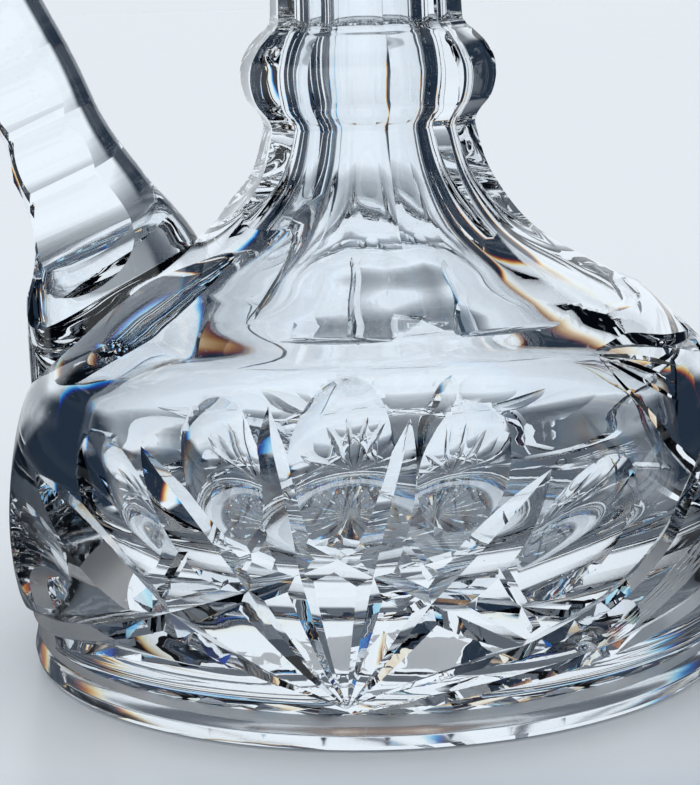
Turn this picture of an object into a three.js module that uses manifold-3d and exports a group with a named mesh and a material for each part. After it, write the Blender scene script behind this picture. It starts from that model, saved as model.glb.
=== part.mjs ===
// Cut glass cruet: a wheel-cut body with an applied handle and a ground stopper.
// Millimetres, +Z up. The origin is the centre of the foot's underside, the handle is towards -X
// and the pouring lip towards +X. An azimuth is in degrees from -Y, the front, towards +X.

import * as THREE from 'three';
import { mergeVertices } from 'three/addons/utils/BufferGeometryUtils.js';
import Module from 'manifold-3d';

const wasm = await Module();
wasm.setup();

// Foot, belly and shoulder of the round blank; a tuck is how far the outline draws in from the belly
const BELLY_RADIUS = 48.5;
const FOOT_FLAT_TUCK = 4.1;
const FOOT_TUCK = 2.6;
const FOOT_ROUNDING = 2.2;
const FOOT_TOP_TUCK = 3.0;
const FOOT_HEIGHT = 5.8;
const BELLY_RISE = 12.6;
const LOWER_BELLY_TUCK = 0.8;
const LOWER_BELLY_RISE = 4.4;
const UPPER_BELLY_TUCK = 1.3;
const UPPER_BELLY_RISE = 9.6;
const SHOULDER_TUCK = 3.4;
const SHOULDER_RISE = 6.8;
const SHOULDER_TURN_TUCK = 7.0;
const SHOULDER_TURN_RISE = 4.5;
const SHOULDER_TOP_TUCK = 13.5;
const SHOULDER_TOP_RISE = 5.4;

// Ten cut panels from the shoulder to the lip, with the collar between; radii are to the flats
const PANEL_COUNT = 10;
const PANEL_RIDGE_AZIMUTH = -26;
const PANEL_FOOT_TUCK = 14.6;
const PANEL_FOOT_RISE = 0.9;
const PANEL_SWEEP_RADIUS = 25.9;
const PANEL_SWEEP_RISE = 4.6;
const THROAT_RADIUS = 19.3;
const THROAT_RISE = 4.6;
const NECK_FOOT_RADIUS = 14.8;
const NECK_FOOT_RISE = 6.5;
const WAIST_RADIUS = 13.1;
const WAIST_RISE = 5.7;
const COLLAR_SEAM_RADIUS = 13.3;
const COLLAR_SEAM_RISE = 2.0;
const COLLAR_LOWER_RADIUS = 14.9;
const COLLAR_LOWER_RISE = 2.0;
const COLLAR_RADIUS = 15.6;
const COLLAR_RISE = 3.2;
const COLLAR_UPPER_RADIUS = 14.3;
const COLLAR_UPPER_RISE = 3.6;
const COLLAR_TOP_RADIUS = 12.0;
const COLLAR_TOP_RISE = 2.4;
const NECK_RADIUS = 11.6;
const NECK_RISE = 2.0;
const UPPER_NECK_RADIUS = 11.4;
const UPPER_NECK_RISE = 12.4;
const PANEL_END_RISE = 8.5;
const PANEL_RUN_IN = 16.0;
const PANEL_RUN_OUT = 2.5;
const RIDGE_MARGIN = 0.7;

// Lip and spout
const LIP_RADIUS = 14.2;
const LIP_RISE = 7.0;
const RIM_ROUNDING = 1.1;
const SPOUT_REACH = 5.5;
const SPOUT_LIFT = 1.6;
const SPOUT_SHARPNESS = 4;
const MOUTH_FLARE = 2.6;
const MOUTH_DEPTH = 4.5;

// Inside: a wall that thickens at the shoulder, a thick floor, a bore and a tapered ground socket
const WALL = 5.4;
const SHOULDER_WALL = 7.6;
const FLOOR = 11.5;
const FLOOR_CORNER = 9.0;
const BORE_RADIUS = 6.2;
const SOCKET_LENGTH = 17.0;
const SOCKET_TOP_RADIUS = 7.4;
const SOCKET_BOTTOM_RADIUS = 6.6;
const SOCKET_LEAD = 1.0;

// Wheel cuts: the half angle of the V wheel's edge, the round wheel's section, and the bites
const MITRE_HALF_ANGLE = 54;
const OLIVE_WHEEL_RADIUS = 15;
const WAIST_DEPTH = 1.3;
const RAY_DEPTH = 1.7;
const ROOF_DEPTH = 1.75;
const SWEEP_DEPTH = 1.2;
const CROSS_DEPTH = 0.55;
const CUT_CLEARANCE = 5;

// The fan that repeats in front and behind, each place as [azimuth, height]
const MIRROR_AZIMUTH = 84;
const FAN_POINT = [-5.6, 5.2];
const FAN_ARMS = [
  { blade: [[-63.0, 28.4], [-49.0, 23.9], [-31.5, 15.7]], depth: 2.6 },
  { blade: [[-37.3, 34.6], [-28.7, 27.6], [-18.9, 19.4]], depth: 2.15 },
  { blade: [[-17.4, 39.6], [-13.8, 30.0], [-11.4, 21.7]], depth: 1.9 },
  { blade: [[5.0, 38.3], [1.9, 30.4], [-1.2, 21.5]], depth: 1.8 },
  { blade: [[24.9, 31.9], [15.9, 24.7], [6.6, 17.9]], depth: 2.1 },
];
const ROOFS = [
  [[-10.2, 25.4], [6.7, 17.9], [19.6, 11.9]],
  [[-2.2, 24.8], [-18.9, 19.4], [-41.4, 13.1], [-61.9, 9.5], [-80.0, 7.6]],
];
const SWEEPS = [
  [FAN_POINT, [10.7, 10.1], [26.8, 14.0], [44.5, 21.9], [54.0, 28.0], [84.0, 42.0]],
  [FAN_POINT, [9.5, 6.6], [28.2, 8.9], [54.3, 13.2], [84.0, 20.0]],
  [[42.3, 42.6], [44.8, 36.6], [51.1, 29.1], [84.0, 6.0]],
  [[42.3, 42.6], [54.1, 42.7], [84.0, 40.0]],
  [[-92.0, 6.2], [-62.0, 7.2], [-42.0, 9.8], [-24.0, 9.9]],
];
const CROSS_BARS = [
  [[-10.7, 28.8], [-3.3, 25.0]],
  [[-2.0, 27.8], [-9.0, 25.2]],
  [[-22.7, 25.3], [-14.6, 23.0]],
  [[-16.1, 26.6], [-19.7, 21.8]],
  [[-27.4, 24.0], [-32.4, 17.4]],
  [[-39.3, 19.8], [-21.9, 20.0]],
  [[3.2, 25.6], [6.8, 21.3]],
  [[2.4, 22.1], [9.5, 23.4]],
  [[15.8, 22.0], [20.8, 14.0]],
  [[12.5, 18.0], [26.1, 15.6]],
];

// Olives between the fan's arms: the ends of each oval's long axis, and its width
const OLIVES = [
  { ends: [[-78.9, 18.6], [-50.3, 17.4]], width: 13.1 },
  { ends: [[-49.3, 34.8], [-32.5, 21.4]], width: 10.1 },
  { ends: [[-27.7, 40.2], [-17.7, 26.0]], width: 10.1 },
  { ends: [[-4.4, 42.5], [-7.1, 24.8]], width: 12.3 },
  { ends: [[16.3, 39.3], [8.0, 26.5]], width: 10.5 },
  { ends: [[38.3, 31.5], [19.0, 18.3]], width: 9.8 },
];

// Star cut into the underside
const STAR_RAYS = 24;
const STAR_RADIUS = 33.0;
const STAR_CENTRE_RADIUS = 2.4;
const STAR_DEPTH = 1.7;

// Handle: places along its centre line, each by its rise above the last, from root to neck
const HANDLE_ROOT = { x: -31.0, rise: 36.0, thickness: 28.0, width: 18.0 };
const HANDLE_HEEL = { x: -33.2, rise: 13.0, thickness: 24.0, width: 15.5 };
const HANDLE_FLARE = { x: -36.4, rise: 9.0, thickness: 17.6, width: 13.4 };
const HANDLE_FLARE_TOP = { x: -39.8, rise: 8.0, thickness: 14.0, width: 12.8 };
const HANDLE_GRIP_LOW = { x: -43.3, rise: 9.0, thickness: 13.2, width: 12.4 };
const HANDLE_GRIP = { x: -47.6, rise: 9.0, thickness: 13.0, width: 12.4 };
const HANDLE_BACK = { x: -51.3, rise: 10.0, thickness: 12.6, width: 12.2 };
const HANDLE_BEND = { x: -50.5, rise: 10.0, thickness: 12.2, width: 12.0 };
const HANDLE_CROWN = { x: -42.0, rise: 6.0, thickness: 11.8, width: 11.6 };
const HANDLE_ARCH = { x: -30.0, rise: -1.0, thickness: 11.2, width: 11.2 };
const HANDLE_REACH = { x: -18.5, rise: -5.5, thickness: 11.0, width: 11.0 };
const HANDLE_TOP = { x: -9.0, rise: -5.5, thickness: 11.0, width: 11.0 };
const SEAM_GAP = 0.35;

// Thumb cuts on the handle: rows at an angle off its near side, the outer row set half a cut on
const THUMB_WHEEL_RADIUS = 14.0;
const THUMB_CUT_PITCH = 9.2;
const SIDE_CUT_DEPTH = 1.9;
const OUTER_CUT_DEPTH = 1.3;
const THUMB_CUT_START_SHARE = 0.15;
const THUMB_CUT_END_SHARE = 0.93;
const THUMB_CUT_ROWS = [
  { angle: 8, stagger: 0, depth: SIDE_CUT_DEPTH },
  { angle: 172, stagger: 0, depth: SIDE_CUT_DEPTH },
  { angle: 90, stagger: 0.5, depth: OUTER_CUT_DEPTH },
];

// Stopper: the plug follows the socket, and the head has two crossed sets of ten facets
const SEAT_GAP = 0.3;
const PLUG_END_GAP = 1.0;
const PLUG_CHAMFER = 0.6;
const PLUG_SHOULDER = 2.0;
const STEM_SINK = 1.0;
const STOPPER_NECK_RADIUS = 4.7;
const STOPPER_NECK_RISE = 5.0;
const HEAD_RADIUS = 13.6;
const HEAD_LOWER_RADIUS = 10.4;
const HEAD_LOWER_RISE = 4.6;
const HEAD_GIRDLE_RISE = 6.4;
const HEAD_UPPER_RADIUS = 11.2;
const HEAD_UPPER_RISE = 7.6;
const HEAD_TABLE_RADIUS = 6.0;
const HEAD_TABLE_RISE = 5.6;
const HEAD_CROSS_RATIO = 1.012;

// How finely the curves are stepped
const ROUND_STEPS = 48;
const INSIDE_STEPS = 30;
const BELLY_STEPS = 12;
const BELLY_READINGS = 96;
const PANEL_STEPS = 24;
const OLIVE_SIDES = 8;
const OLIVE_SPREAD_ANGLE = 37;
const OLIVE_STEPS = 10;
const CORNER_STEPS = 4;
const LEAF_STEPS = 4;
const LEAF_RUN_OUT_SHARE = 0.08;
const LONG_STEPS = 8;
const HANDLE_STEPS = 34;
const HANDLE_SIDES = 12;
const DRUM_SIDES = 36;

const heights = {};
heights.lowerBelly = FOOT_HEIGHT + LOWER_BELLY_RISE;
heights.belly = FOOT_HEIGHT + BELLY_RISE;
heights.upperBelly = heights.belly + UPPER_BELLY_RISE;
heights.shoulder = heights.upperBelly + SHOULDER_RISE;
heights.shoulderTurn = heights.shoulder + SHOULDER_TURN_RISE;
heights.shoulderTop = heights.shoulderTurn + SHOULDER_TOP_RISE;
heights.panelFoot = heights.shoulderTop + PANEL_FOOT_RISE;
heights.panelSweep = heights.panelFoot + PANEL_SWEEP_RISE;
heights.throat = heights.panelSweep + THROAT_RISE;
heights.neckFoot = heights.throat + NECK_FOOT_RISE;
heights.waist = heights.neckFoot + WAIST_RISE;
heights.collarSeam = heights.waist + COLLAR_SEAM_RISE;
heights.collarLower = heights.collarSeam + COLLAR_LOWER_RISE;
heights.collar = heights.collarLower + COLLAR_RISE;
heights.collarUpper = heights.collar + COLLAR_UPPER_RISE;
heights.collarTop = heights.collarUpper + COLLAR_TOP_RISE;
heights.neck = heights.collarTop + NECK_RISE;
heights.upperNeck = heights.neck + UPPER_NECK_RISE;
heights.panelEnd = heights.upperNeck + PANEL_END_RISE;
heights.rim = heights.panelEnd + LIP_RISE;

const place = (radius, height) => new THREE.Vector2(radius, height);

// A ridge between two flat panels lies further out than the middle of a flat
const ridgeRatio = 1 / Math.cos(Math.PI / PANEL_COUNT);

// Outside of the round blank below the panels
const bellyPath = new THREE.SplineCurve([
  place(BELLY_RADIUS - FOOT_TOP_TUCK, FOOT_HEIGHT),
  place(BELLY_RADIUS - LOWER_BELLY_TUCK, heights.lowerBelly),
  place(BELLY_RADIUS, heights.belly),
  place(BELLY_RADIUS - UPPER_BELLY_TUCK, heights.upperBelly),
  place(BELLY_RADIUS - SHOULDER_TUCK, heights.shoulder),
  place(BELLY_RADIUS - SHOULDER_TURN_TUCK, heights.shoulderTurn),
  place(BELLY_RADIUS - SHOULDER_TOP_TUCK, heights.shoulderTop),
]);

// Middle of each panel, from the shoulder over the collar to the upper neck
const panelPath = new THREE.SplineCurve([
  place(BELLY_RADIUS - PANEL_FOOT_TUCK, heights.panelFoot),
  place(PANEL_SWEEP_RADIUS, heights.panelSweep),
  place(THROAT_RADIUS, heights.throat),
  place(NECK_FOOT_RADIUS, heights.neckFoot),
  place(WAIST_RADIUS, heights.waist),
  place(COLLAR_SEAM_RADIUS, heights.collarSeam),
  place(COLLAR_LOWER_RADIUS, heights.collarLower),
  place(COLLAR_RADIUS, heights.collar),
  place(COLLAR_UPPER_RADIUS, heights.collarUpper),
  place(COLLAR_TOP_RADIUS, heights.collarTop),
  place(NECK_RADIUS, heights.neck),
  place(UPPER_NECK_RADIUS, heights.upperNeck),
  place(UPPER_NECK_RADIUS, heights.panelEnd),
]);

const bellyPoints = bellyPath.getPoints(BELLY_STEPS);
const panelPoints = panelPath.getPoints(PANEL_STEPS);

// Finer readings of the belly, for whatever is cut along it
const bellyReadings = bellyPath.getPoints(BELLY_READINGS);

// Radius at a height, read off a list of points that climbs
function radiusOn(points, height) {
  const above = points.findIndex((point) => point.y >= height);
  if (above < 0) return points[points.length - 1].x;
  if (above === 0) return points[0].x;
  const low = points[above - 1];
  const high = points[above];
  return low.x + ((high.x - low.x) * (height - low.y)) / (high.y - low.y);
}

const footRadius = BELLY_RADIUS - FOOT_TUCK;
const footFlatRadius = BELLY_RADIUS - FOOT_FLAT_TUCK;

// Whole outside of the round blank, grown outwards for whatever is fitted on it
function roundOutline(grow = 0) {
  const wide = ({ x, y }) => place(x + grow, y);
  const neckPoints = panelPoints
    .filter(({ y }) => y > heights.panelFoot + 1 && y < heights.panelEnd - 1)
    .map(({ x, y }) => place(x * ridgeRatio + RIDGE_MARGIN + grow, y));
  return [
    place(0, -grow),
    place(footFlatRadius + grow, -grow),
    place(footRadius + grow, FOOT_ROUNDING),
    ...bellyPoints.map(wide),
    ...neckPoints,
    place(UPPER_NECK_RADIUS + RIDGE_MARGIN + grow, heights.panelEnd),
    place(LIP_RADIUS - RIM_ROUNDING + grow, heights.rim - 2 * RIM_ROUNDING),
    place(LIP_RADIUS + grow, heights.rim - RIM_ROUNDING),
    place(LIP_RADIUS - RIM_ROUNDING / 2 + grow, heights.rim + grow),
    place(0, heights.rim + grow),
  ];
}

// Ten-sided solid whose flats are the panels; below and above them it clears the round blank
function panelOutline(grow = 0) {
  const clear = 2 * BELLY_RADIUS;
  return [
    place(0, -2 * FOOT_HEIGHT),
    place(clear, -2 * FOOT_HEIGHT),
    place(clear, heights.panelFoot - PANEL_RUN_IN),
    ...panelPoints.map(({ x, y }) => place((x + grow) * ridgeRatio, y)),
    place(UPPER_NECK_RADIUS * 2, heights.panelEnd + PANEL_RUN_OUT),
    place(UPPER_NECK_RADIUS * 2, heights.rim + FOOT_HEIGHT),
    place(0, heights.rim + FOOT_HEIGHT),
  ];
}

// Wall at a height: thickest at the turn of the shoulder, and what the bore leaves at the waist
function wallAt(height) {
  const turning = THREE.MathUtils.smoothstep(height, heights.upperBelly, heights.shoulderTurn)
    * (1 - THREE.MathUtils.smoothstep(height, heights.shoulderTop, heights.throat));
  const narrowing = THREE.MathUtils.smoothstep(height, heights.panelSweep, heights.waist);
  const wall = THREE.MathUtils.lerp(WALL, SHOULDER_WALL, turning);
  return THREE.MathUtils.lerp(wall, WAIST_RADIUS - BORE_RADIUS, narrowing);
}

// Inside of the vessel, as a solid to take away: it follows the outside at the wall's distance
function insideOutline() {
  const outer = [...bellyPoints, ...panelPoints.filter(({ y }) => y <= heights.waist)];
  const inner = outer.map((point, index) => {
    const before = outer[Math.max(index - 1, 0)];
    const after = outer[Math.min(index + 1, outer.length - 1)];
    const normal = place(after.y - before.y, before.x - after.x).normalize();
    return point.clone().addScaledVector(normal, -wallAt(point.y));
  });
  const sides = inner.filter(({ y }, index) => (
    y > FLOOR + FLOOR_CORNER && (index === 0 || y > inner[index - 1].y)));
  const corner = Array.from({ length: CORNER_STEPS }, (unused, step) => {
    const angle = (Math.PI / 2) * (step / CORNER_STEPS);
    const [inwards, upwards] = [1 - Math.sin(angle), 1 - Math.cos(angle)];
    return place(sides[0].x - FLOOR_CORNER * inwards, FLOOR + FLOOR_CORNER * upwards);
  });
  const socketTop = heights.rim - MOUTH_DEPTH;
  const socketBottom = socketTop - SOCKET_LENGTH;
  return [
    place(0, FLOOR),
    ...corner,
    ...sides,
    place(BORE_RADIUS, heights.waist),
    place(BORE_RADIUS, socketBottom),
    place(SOCKET_BOTTOM_RADIUS, socketBottom + SOCKET_LEAD),
    place(SOCKET_TOP_RADIUS, socketTop),
    place(SOCKET_TOP_RADIUS + MOUTH_FLARE * 2, socketTop + MOUTH_DEPTH * 2),
    place(0, socketTop + MOUTH_DEPTH * 2),
  ];
}

// Closed geometry from rings of points, each with as many points as the last
function skin(rings) {
  const count = rings[0].length;
  const triangles = [];
  for (let ring = 0; ring < rings.length - 1; ring += 1) {
    for (let side = 0; side < count; side += 1) {
      const a = ring * count + side;
      const b = ring * count + ((side + 1) % count);
      triangles.push(a, b, b + count, a, b + count, a + count);
    }
  }
  const last = (rings.length - 1) * count;
  for (let side = 1; side < count - 1; side += 1) {
    triangles.push(0, side + 1, side, last, last + side, last + side + 1);
  }
  const geometry = new THREE.BufferGeometry().setFromPoints(rings.flat());
  geometry.setIndex(triangles);
  return geometry;
}

// Volume with its sign: negative when the faces point inwards
function signedVolume(position, index) {
  const corner = [0, 1, 2].map(() => new THREE.Vector3());
  let sum = 0;
  for (let i = 0; i < index.length; i += 3) {
    corner.forEach((point, side) => point.fromBufferAttribute(position, index[i + side]));
    sum += corner[0].dot(corner[1].clone().cross(corner[2])) / 6;
  }
  return sum;
}

// Solid ready to cut or join, from any closed geometry
function solid(geometry) {
  geometry.deleteAttribute('normal');
  geometry.deleteAttribute('uv');
  const merged = mergeVertices(geometry);
  const { position } = merged.attributes;
  const kept = [];
  for (let i = 0; i < merged.index.count; i += 3) {
    const [a, b, c] = [0, 1, 2].map((side) => merged.index.getX(i + side));
    if (a !== b && b !== c && c !== a) kept.push(a, b, c);
  }
  if (signedVolume(position, kept) < 0) kept.reverse();
  return new wasm.Manifold(new wasm.Mesh({
    numProp: 3,
    vertProperties: new Float32Array(position.array),
    triVerts: new Uint32Array(kept),
  }));
}

function revolve(outline, steps, startAzimuth = 0) {
  const start = THREE.MathUtils.degToRad(startAzimuth);
  return solid(new THREE.LatheGeometry(outline, steps, start).rotateX(Math.PI / 2));
}

// Point under the uncut surface of the belly, and the surface's normal there
function belowSurface([azimuth, height], depth = 0) {
  const step = 0.6;
  const [low, radius, high] = [-step, 0, step].map((rise) => radiusOn(bellyReadings, height + rise));
  const angle = THREE.MathUtils.degToRad(azimuth);
  const normal = new THREE.Vector3(Math.sin(angle), -Math.cos(angle), (low - high) / (2 * step));
  const point = new THREE.Vector3(radius * Math.sin(angle), -radius * Math.cos(angle), height);
  return { point: point.addScaledVector(normal.normalize(), -depth), normal };
}

// Reads places off a smooth path over the belly, run on straight past its ends
function pathOver(places) {
  const curve = new THREE.SplineCurve(places.map(([azimuth, height]) => new THREE.Vector2(azimuth, height)));
  return (share) => {
    const kept = THREE.MathUtils.clamp(share, 0, 1);
    const spot = curve.getPointAt(kept);
    spot.addScaledVector(curve.getTangentAt(kept), (share - kept) * curve.getLength());
    return [spot.x, spot.y];
  };
}

// Wheel's path over the belly as a solid; the section is drawn as [across, outwards] pairs
function wheelCut(places, depthAt, section, steps, start = 0, end = 1) {
  const over = pathOver(places);
  const rings = [];
  for (let step = 0; step <= steps; step += 1) {
    const share = THREE.MathUtils.lerp(start, end, step / steps);
    const { point, normal } = belowSurface(over(share), depthAt(share));
    const ahead = belowSurface(over(share + 0.01)).point;
    const behind = belowSurface(over(share - 0.01)).point;
    const side = ahead.sub(behind).cross(normal).normalize();
    rings.push(section.map(([across, outwards]) => point.clone()
      .addScaledVector(side, across).addScaledVector(normal, outwards)));
  }
  return solid(skin(rings));
}

const mitreFlare = CUT_CLEARANCE * Math.tan(THREE.MathUtils.degToRad(MITRE_HALF_ANGLE));
const mitreSection = [[0, 0], [mitreFlare, CUT_CLEARANCE], [-mitreFlare, CUT_CLEARANCE]];

const oliveSection = Array.from({ length: OLIVE_SIDES + 1 }, (unused, side) => {
  const turn = THREE.MathUtils.degToRad(OLIVE_SPREAD_ANGLE * (1 - (2 * side) / OLIVE_SIDES));
  return [OLIVE_WHEEL_RADIUS * Math.sin(turn), OLIVE_WHEEL_RADIUS * (1 - Math.cos(turn))];
});

// Leaf-shaped cut that starts at a point; it bites deepest half way
function leafCut(places, depth, endDepth) {
  const depthAt = (share) => 4 * (depth - endDepth / 2) * share * (1 - share) + endDepth * share;
  return wheelCut(places, depthAt, mitreSection, LEAF_STEPS, -LEAF_RUN_OUT_SHARE);
}

// Long cut of even depth, half as deep at its ends
function longCut(places, depth, steps = LONG_STEPS) {
  const depthAt = (share) => (depth / 2) * (1 + Math.min(1, 12 * share * (1 - share)));
  return wheelCut(places, depthAt, mitreSection, steps);
}

// Oval hollow that a round-edged wheel leaves where it rolls in and out between two places
function oliveCut(ends, width) {
  const deepest = ((width * width) / 8) * (1 / OLIVE_WHEEL_RADIUS + 1 / BELLY_RADIUS);
  const depthAt = (share) => 4 * deepest * share * (1 - share);
  return wheelCut(ends, depthAt, oliveSection, OLIVE_STEPS, -LEAF_RUN_OUT_SHARE, 1 + LEAF_RUN_OUT_SHARE);
}

const mirrored = ([azimuth, height]) => [2 * MIRROR_AZIMUTH - azimuth, height];

// Every cut of the front half; the flip makes the same cuts behind the handle's plane
function fanCuts(flip) {
  const cuts = [];
  for (const { blade, depth } of FAN_ARMS) {
    cuts.push(leafCut(blade.map(flip), depth, WAIST_DEPTH));
    cuts.push(longCut([blade[2], FAN_POINT].map(flip), RAY_DEPTH, LEAF_STEPS));
  }
  for (const roof of ROOFS) cuts.push(longCut(roof.map(flip), ROOF_DEPTH));
  for (const sweep of SWEEPS) cuts.push(longCut(sweep.map(flip), SWEEP_DEPTH));
  for (const bar of CROSS_BARS) {
    cuts.push(wheelCut(bar.map(flip), () => CROSS_DEPTH, mitreSection, LEAF_STEPS / 2));
  }
  for (const { ends, width } of OLIVES) cuts.push(oliveCut(ends.map(flip), width));
  return cuts;
}

// Star of mitres in the underside, with a small flat left at its centre
function starCuts() {
  return Array.from({ length: STAR_RAYS }, (unused, ray) => {
    const angle = (2 * Math.PI * ray) / STAR_RAYS;
    const outwards = new THREE.Vector3(Math.sin(angle), -Math.cos(angle), 0);
    const side = new THREE.Vector3(0, 0, 1).cross(outwards).multiplyScalar(mitreFlare);
    const rings = [];
    for (let step = 0; step <= LEAF_STEPS; step += 1) {
      const share = (1.05 * step) / LEAF_STEPS;
      const radius = THREE.MathUtils.lerp(STAR_CENTRE_RADIUS, STAR_RADIUS, share);
      const edge = outwards.clone().multiplyScalar(radius).setZ(4 * STAR_DEPTH * share * (1 - share));
      const back = edge.clone().setZ(edge.z - CUT_CLEARANCE);
      rings.push([edge, back.clone().add(side), back.clone().sub(side)]);
    }
    return solid(skin(rings));
  });
}

// Uncut outside of the vessel, grown by the gap that a fitted piece keeps
function blank(grow = 0) {
  return revolve(roundOutline(grow), ROUND_STEPS)
    .intersect(revolve(panelOutline(grow), PANEL_COUNT, PANEL_RIDGE_AZIMUTH));
}

// Spout: the rim is drawn outwards towards +X, inside and outside together
function drawSpout(geometry) {
  const { position } = geometry.attributes;
  for (let i = 0; i < position.count; i += 1) {
    const x = position.getX(i);
    const y = position.getY(i);
    const z = position.getZ(i);
    const rise = THREE.MathUtils.smoothstep(z, heights.rim - MOUTH_DEPTH, heights.rim);
    const facing = Math.max(0, x / Math.max(Math.hypot(x, y), 1e-6)) ** SPOUT_SHARPNESS;
    position.setXYZ(i, x + SPOUT_REACH * rise * facing, y, z + SPOUT_LIFT * rise * facing);
  }
  return geometry;
}

function toGeometry(shape) {
  const { vertProperties, triVerts, numProp } = shape.getMesh();
  const geometry = new THREE.BufferGeometry();
  const points = new Float32Array((vertProperties.length / numProp) * 3);
  for (let i = 0; i < points.length / 3; i += 1) {
    points.set(vertProperties.subarray(i * numProp, i * numProp + 3), i * 3);
  }
  geometry.setAttribute('position', new THREE.BufferAttribute(points, 3));
  geometry.setIndex(new THREE.BufferAttribute(new Uint32Array(triVerts), 1));
  geometry.computeVertexNormals();
  return geometry;
}

function makeBody() {
  let shape = blank().subtract(revolve(insideOutline(), INSIDE_STEPS));
  for (const cut of [...fanCuts((spot) => spot), ...fanCuts(mirrored), ...starCuts()]) {
    shape = shape.subtract(cut);
  }
  return drawSpout(toGeometry(shape));
}

// Handle: a round bar along a curve in the XZ plane, with rows of thumb cuts
const handleStations = [
  HANDLE_ROOT, HANDLE_HEEL, HANDLE_FLARE, HANDLE_FLARE_TOP, HANDLE_GRIP_LOW, HANDLE_GRIP,
  HANDLE_BACK, HANDLE_BEND, HANDLE_CROWN, HANDLE_ARCH, HANDLE_REACH, HANDLE_TOP,
];
const handleLine = handleStations.map(({ x }, index) => {
  const climbed = handleStations.slice(0, index + 1).reduce((sum, { rise }) => sum + rise, 0);
  return new THREE.Vector3(x, 0, climbed);
});
const handlePath = new THREE.CatmullRomCurve3(handleLine, false, 'centripetal');

function handleFrame(share) {
  const centre = handlePath.getPoint(share);
  const along = handlePath.getTangent(share);
  const across = new THREE.Vector3(0, 1, 0);
  const out = new THREE.Vector3().crossVectors(along, across).normalize();
  const spot = share * (handleStations.length - 1);
  const low = handleStations[Math.floor(spot)];
  const high = handleStations[Math.min(Math.floor(spot) + 1, handleStations.length - 1)];
  const blend = spot - Math.floor(spot);
  const thickness = THREE.MathUtils.lerp(low.thickness, high.thickness, blend);
  const width = THREE.MathUtils.lerp(low.width, high.width, blend);
  return { centre, along, across, out, thickness, width };
}

// Wheel that lies across the bar and takes one thumb cut out of it
function thumbCut(share, turn, depth) {
  const { centre, along, across, out, thickness, width } = handleFrame(share);
  const [outwards, sideways] = [Math.sin(turn), -Math.cos(turn)];
  const face = out.multiplyScalar(outwards).addScaledVector(across, sideways).normalize();
  const half = Math.hypot((thickness / 2) * outwards, (width / 2) * sideways);
  const spot = centre.addScaledVector(face, half + THUMB_WHEEL_RADIUS - depth);
  const drum = new THREE.CylinderGeometry(THUMB_WHEEL_RADIUS, THUMB_WHEEL_RADIUS, half * 4, DRUM_SIDES);
  const axis = face.clone().cross(along);
  drum.applyMatrix4(new THREE.Matrix4().makeBasis(along, axis, along.clone().cross(axis)));
  return solid(drum.translate(spot.x, spot.y, spot.z));
}

function makeHandle() {
  const rings = [];
  for (let step = 0; step <= HANDLE_STEPS; step += 1) {
    const { centre, across, out, thickness, width } = handleFrame(step / HANDLE_STEPS);
    rings.push(Array.from({ length: HANDLE_SIDES }, (unused, side) => {
      const turn = (2 * Math.PI * side) / HANDLE_SIDES;
      return centre.clone().addScaledVector(out, (thickness / 2) * Math.cos(turn))
        .addScaledVector(across, (width / 2) * Math.sin(turn));
    }));
  }
  let shape = solid(skin(rings));
  const cutLength = handlePath.getLength() * (THUMB_CUT_END_SHARE - THUMB_CUT_START_SHARE);
  const cutCount = Math.max(1, Math.round(cutLength / THUMB_CUT_PITCH));
  for (const { angle, stagger, depth } of THUMB_CUT_ROWS) {
    for (let cut = 0; cut < cutCount; cut += 1) {
      const share = THREE.MathUtils.lerp(
        THUMB_CUT_START_SHARE, THUMB_CUT_END_SHARE, (cut + 0.5 + stagger) / cutCount);
      shape = shape.subtract(thumbCut(share, THREE.MathUtils.degToRad(angle), depth));
    }
  }
  return toGeometry(shape.subtract(blank(SEAM_GAP)));
}

function makeStopper() {
  const plugTop = heights.rim - MOUTH_DEPTH;
  const plugBottom = plugTop - SOCKET_LENGTH + SOCKET_LEAD + PLUG_END_GAP;
  const neckTop = heights.rim + STOPPER_NECK_RISE;
  const headLower = neckTop + HEAD_LOWER_RISE;
  const girdle = headLower + HEAD_GIRDLE_RISE;
  const headUpper = girdle + HEAD_UPPER_RISE;
  const table = headUpper + HEAD_TABLE_RISE;
  const taper = (SOCKET_TOP_RADIUS - SOCKET_BOTTOM_RADIUS) / (SOCKET_LENGTH - SOCKET_LEAD);
  const plugRadius = SOCKET_BOTTOM_RADIUS + taper * PLUG_END_GAP - SEAT_GAP;
  const stem = revolve([
    place(0, plugBottom),
    place(plugRadius - PLUG_CHAMFER, plugBottom),
    place(plugRadius, plugBottom + PLUG_CHAMFER),
    place(SOCKET_TOP_RADIUS - SEAT_GAP, plugTop),
    place(STOPPER_NECK_RADIUS, plugTop + PLUG_SHOULDER),
    place(STOPPER_NECK_RADIUS, neckTop + STEM_SINK),
    place(0, neckTop + STEM_SINK),
  ], INSIDE_STEPS);
  const facets = [
    place(0, neckTop),
    place(STOPPER_NECK_RADIUS * ridgeRatio, neckTop),
    place(HEAD_LOWER_RADIUS, headLower),
    place(HEAD_RADIUS, girdle),
    place(HEAD_UPPER_RADIUS, headUpper),
    place(HEAD_TABLE_RADIUS, table),
    place(0, table),
  ];
  const crossed = facets.map(({ x, y }) => place(x * HEAD_CROSS_RATIO, y));
  const head = revolve(facets, PANEL_COUNT).intersect(revolve(crossed, PANEL_COUNT, 180 / PANEL_COUNT));
  return toGeometry(stem.add(head));
}

const clearGlass = (color) => new THREE.MeshStandardMaterial({ color, roughness: 0.04, metalness: 0 });

const cruet = new THREE.Group();
for (const [name, make, color] of [
  ['body', makeBody, '#dfe7ef'],
  ['handle', makeHandle, '#d5dfe9'],
  ['stopper', makeStopper, '#e6edf3'],
]) {
  const mesh = new THREE.Mesh(make(), clearGlass(color));
  mesh.name = name;
  cruet.add(mesh);
}

export default cruet;
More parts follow.
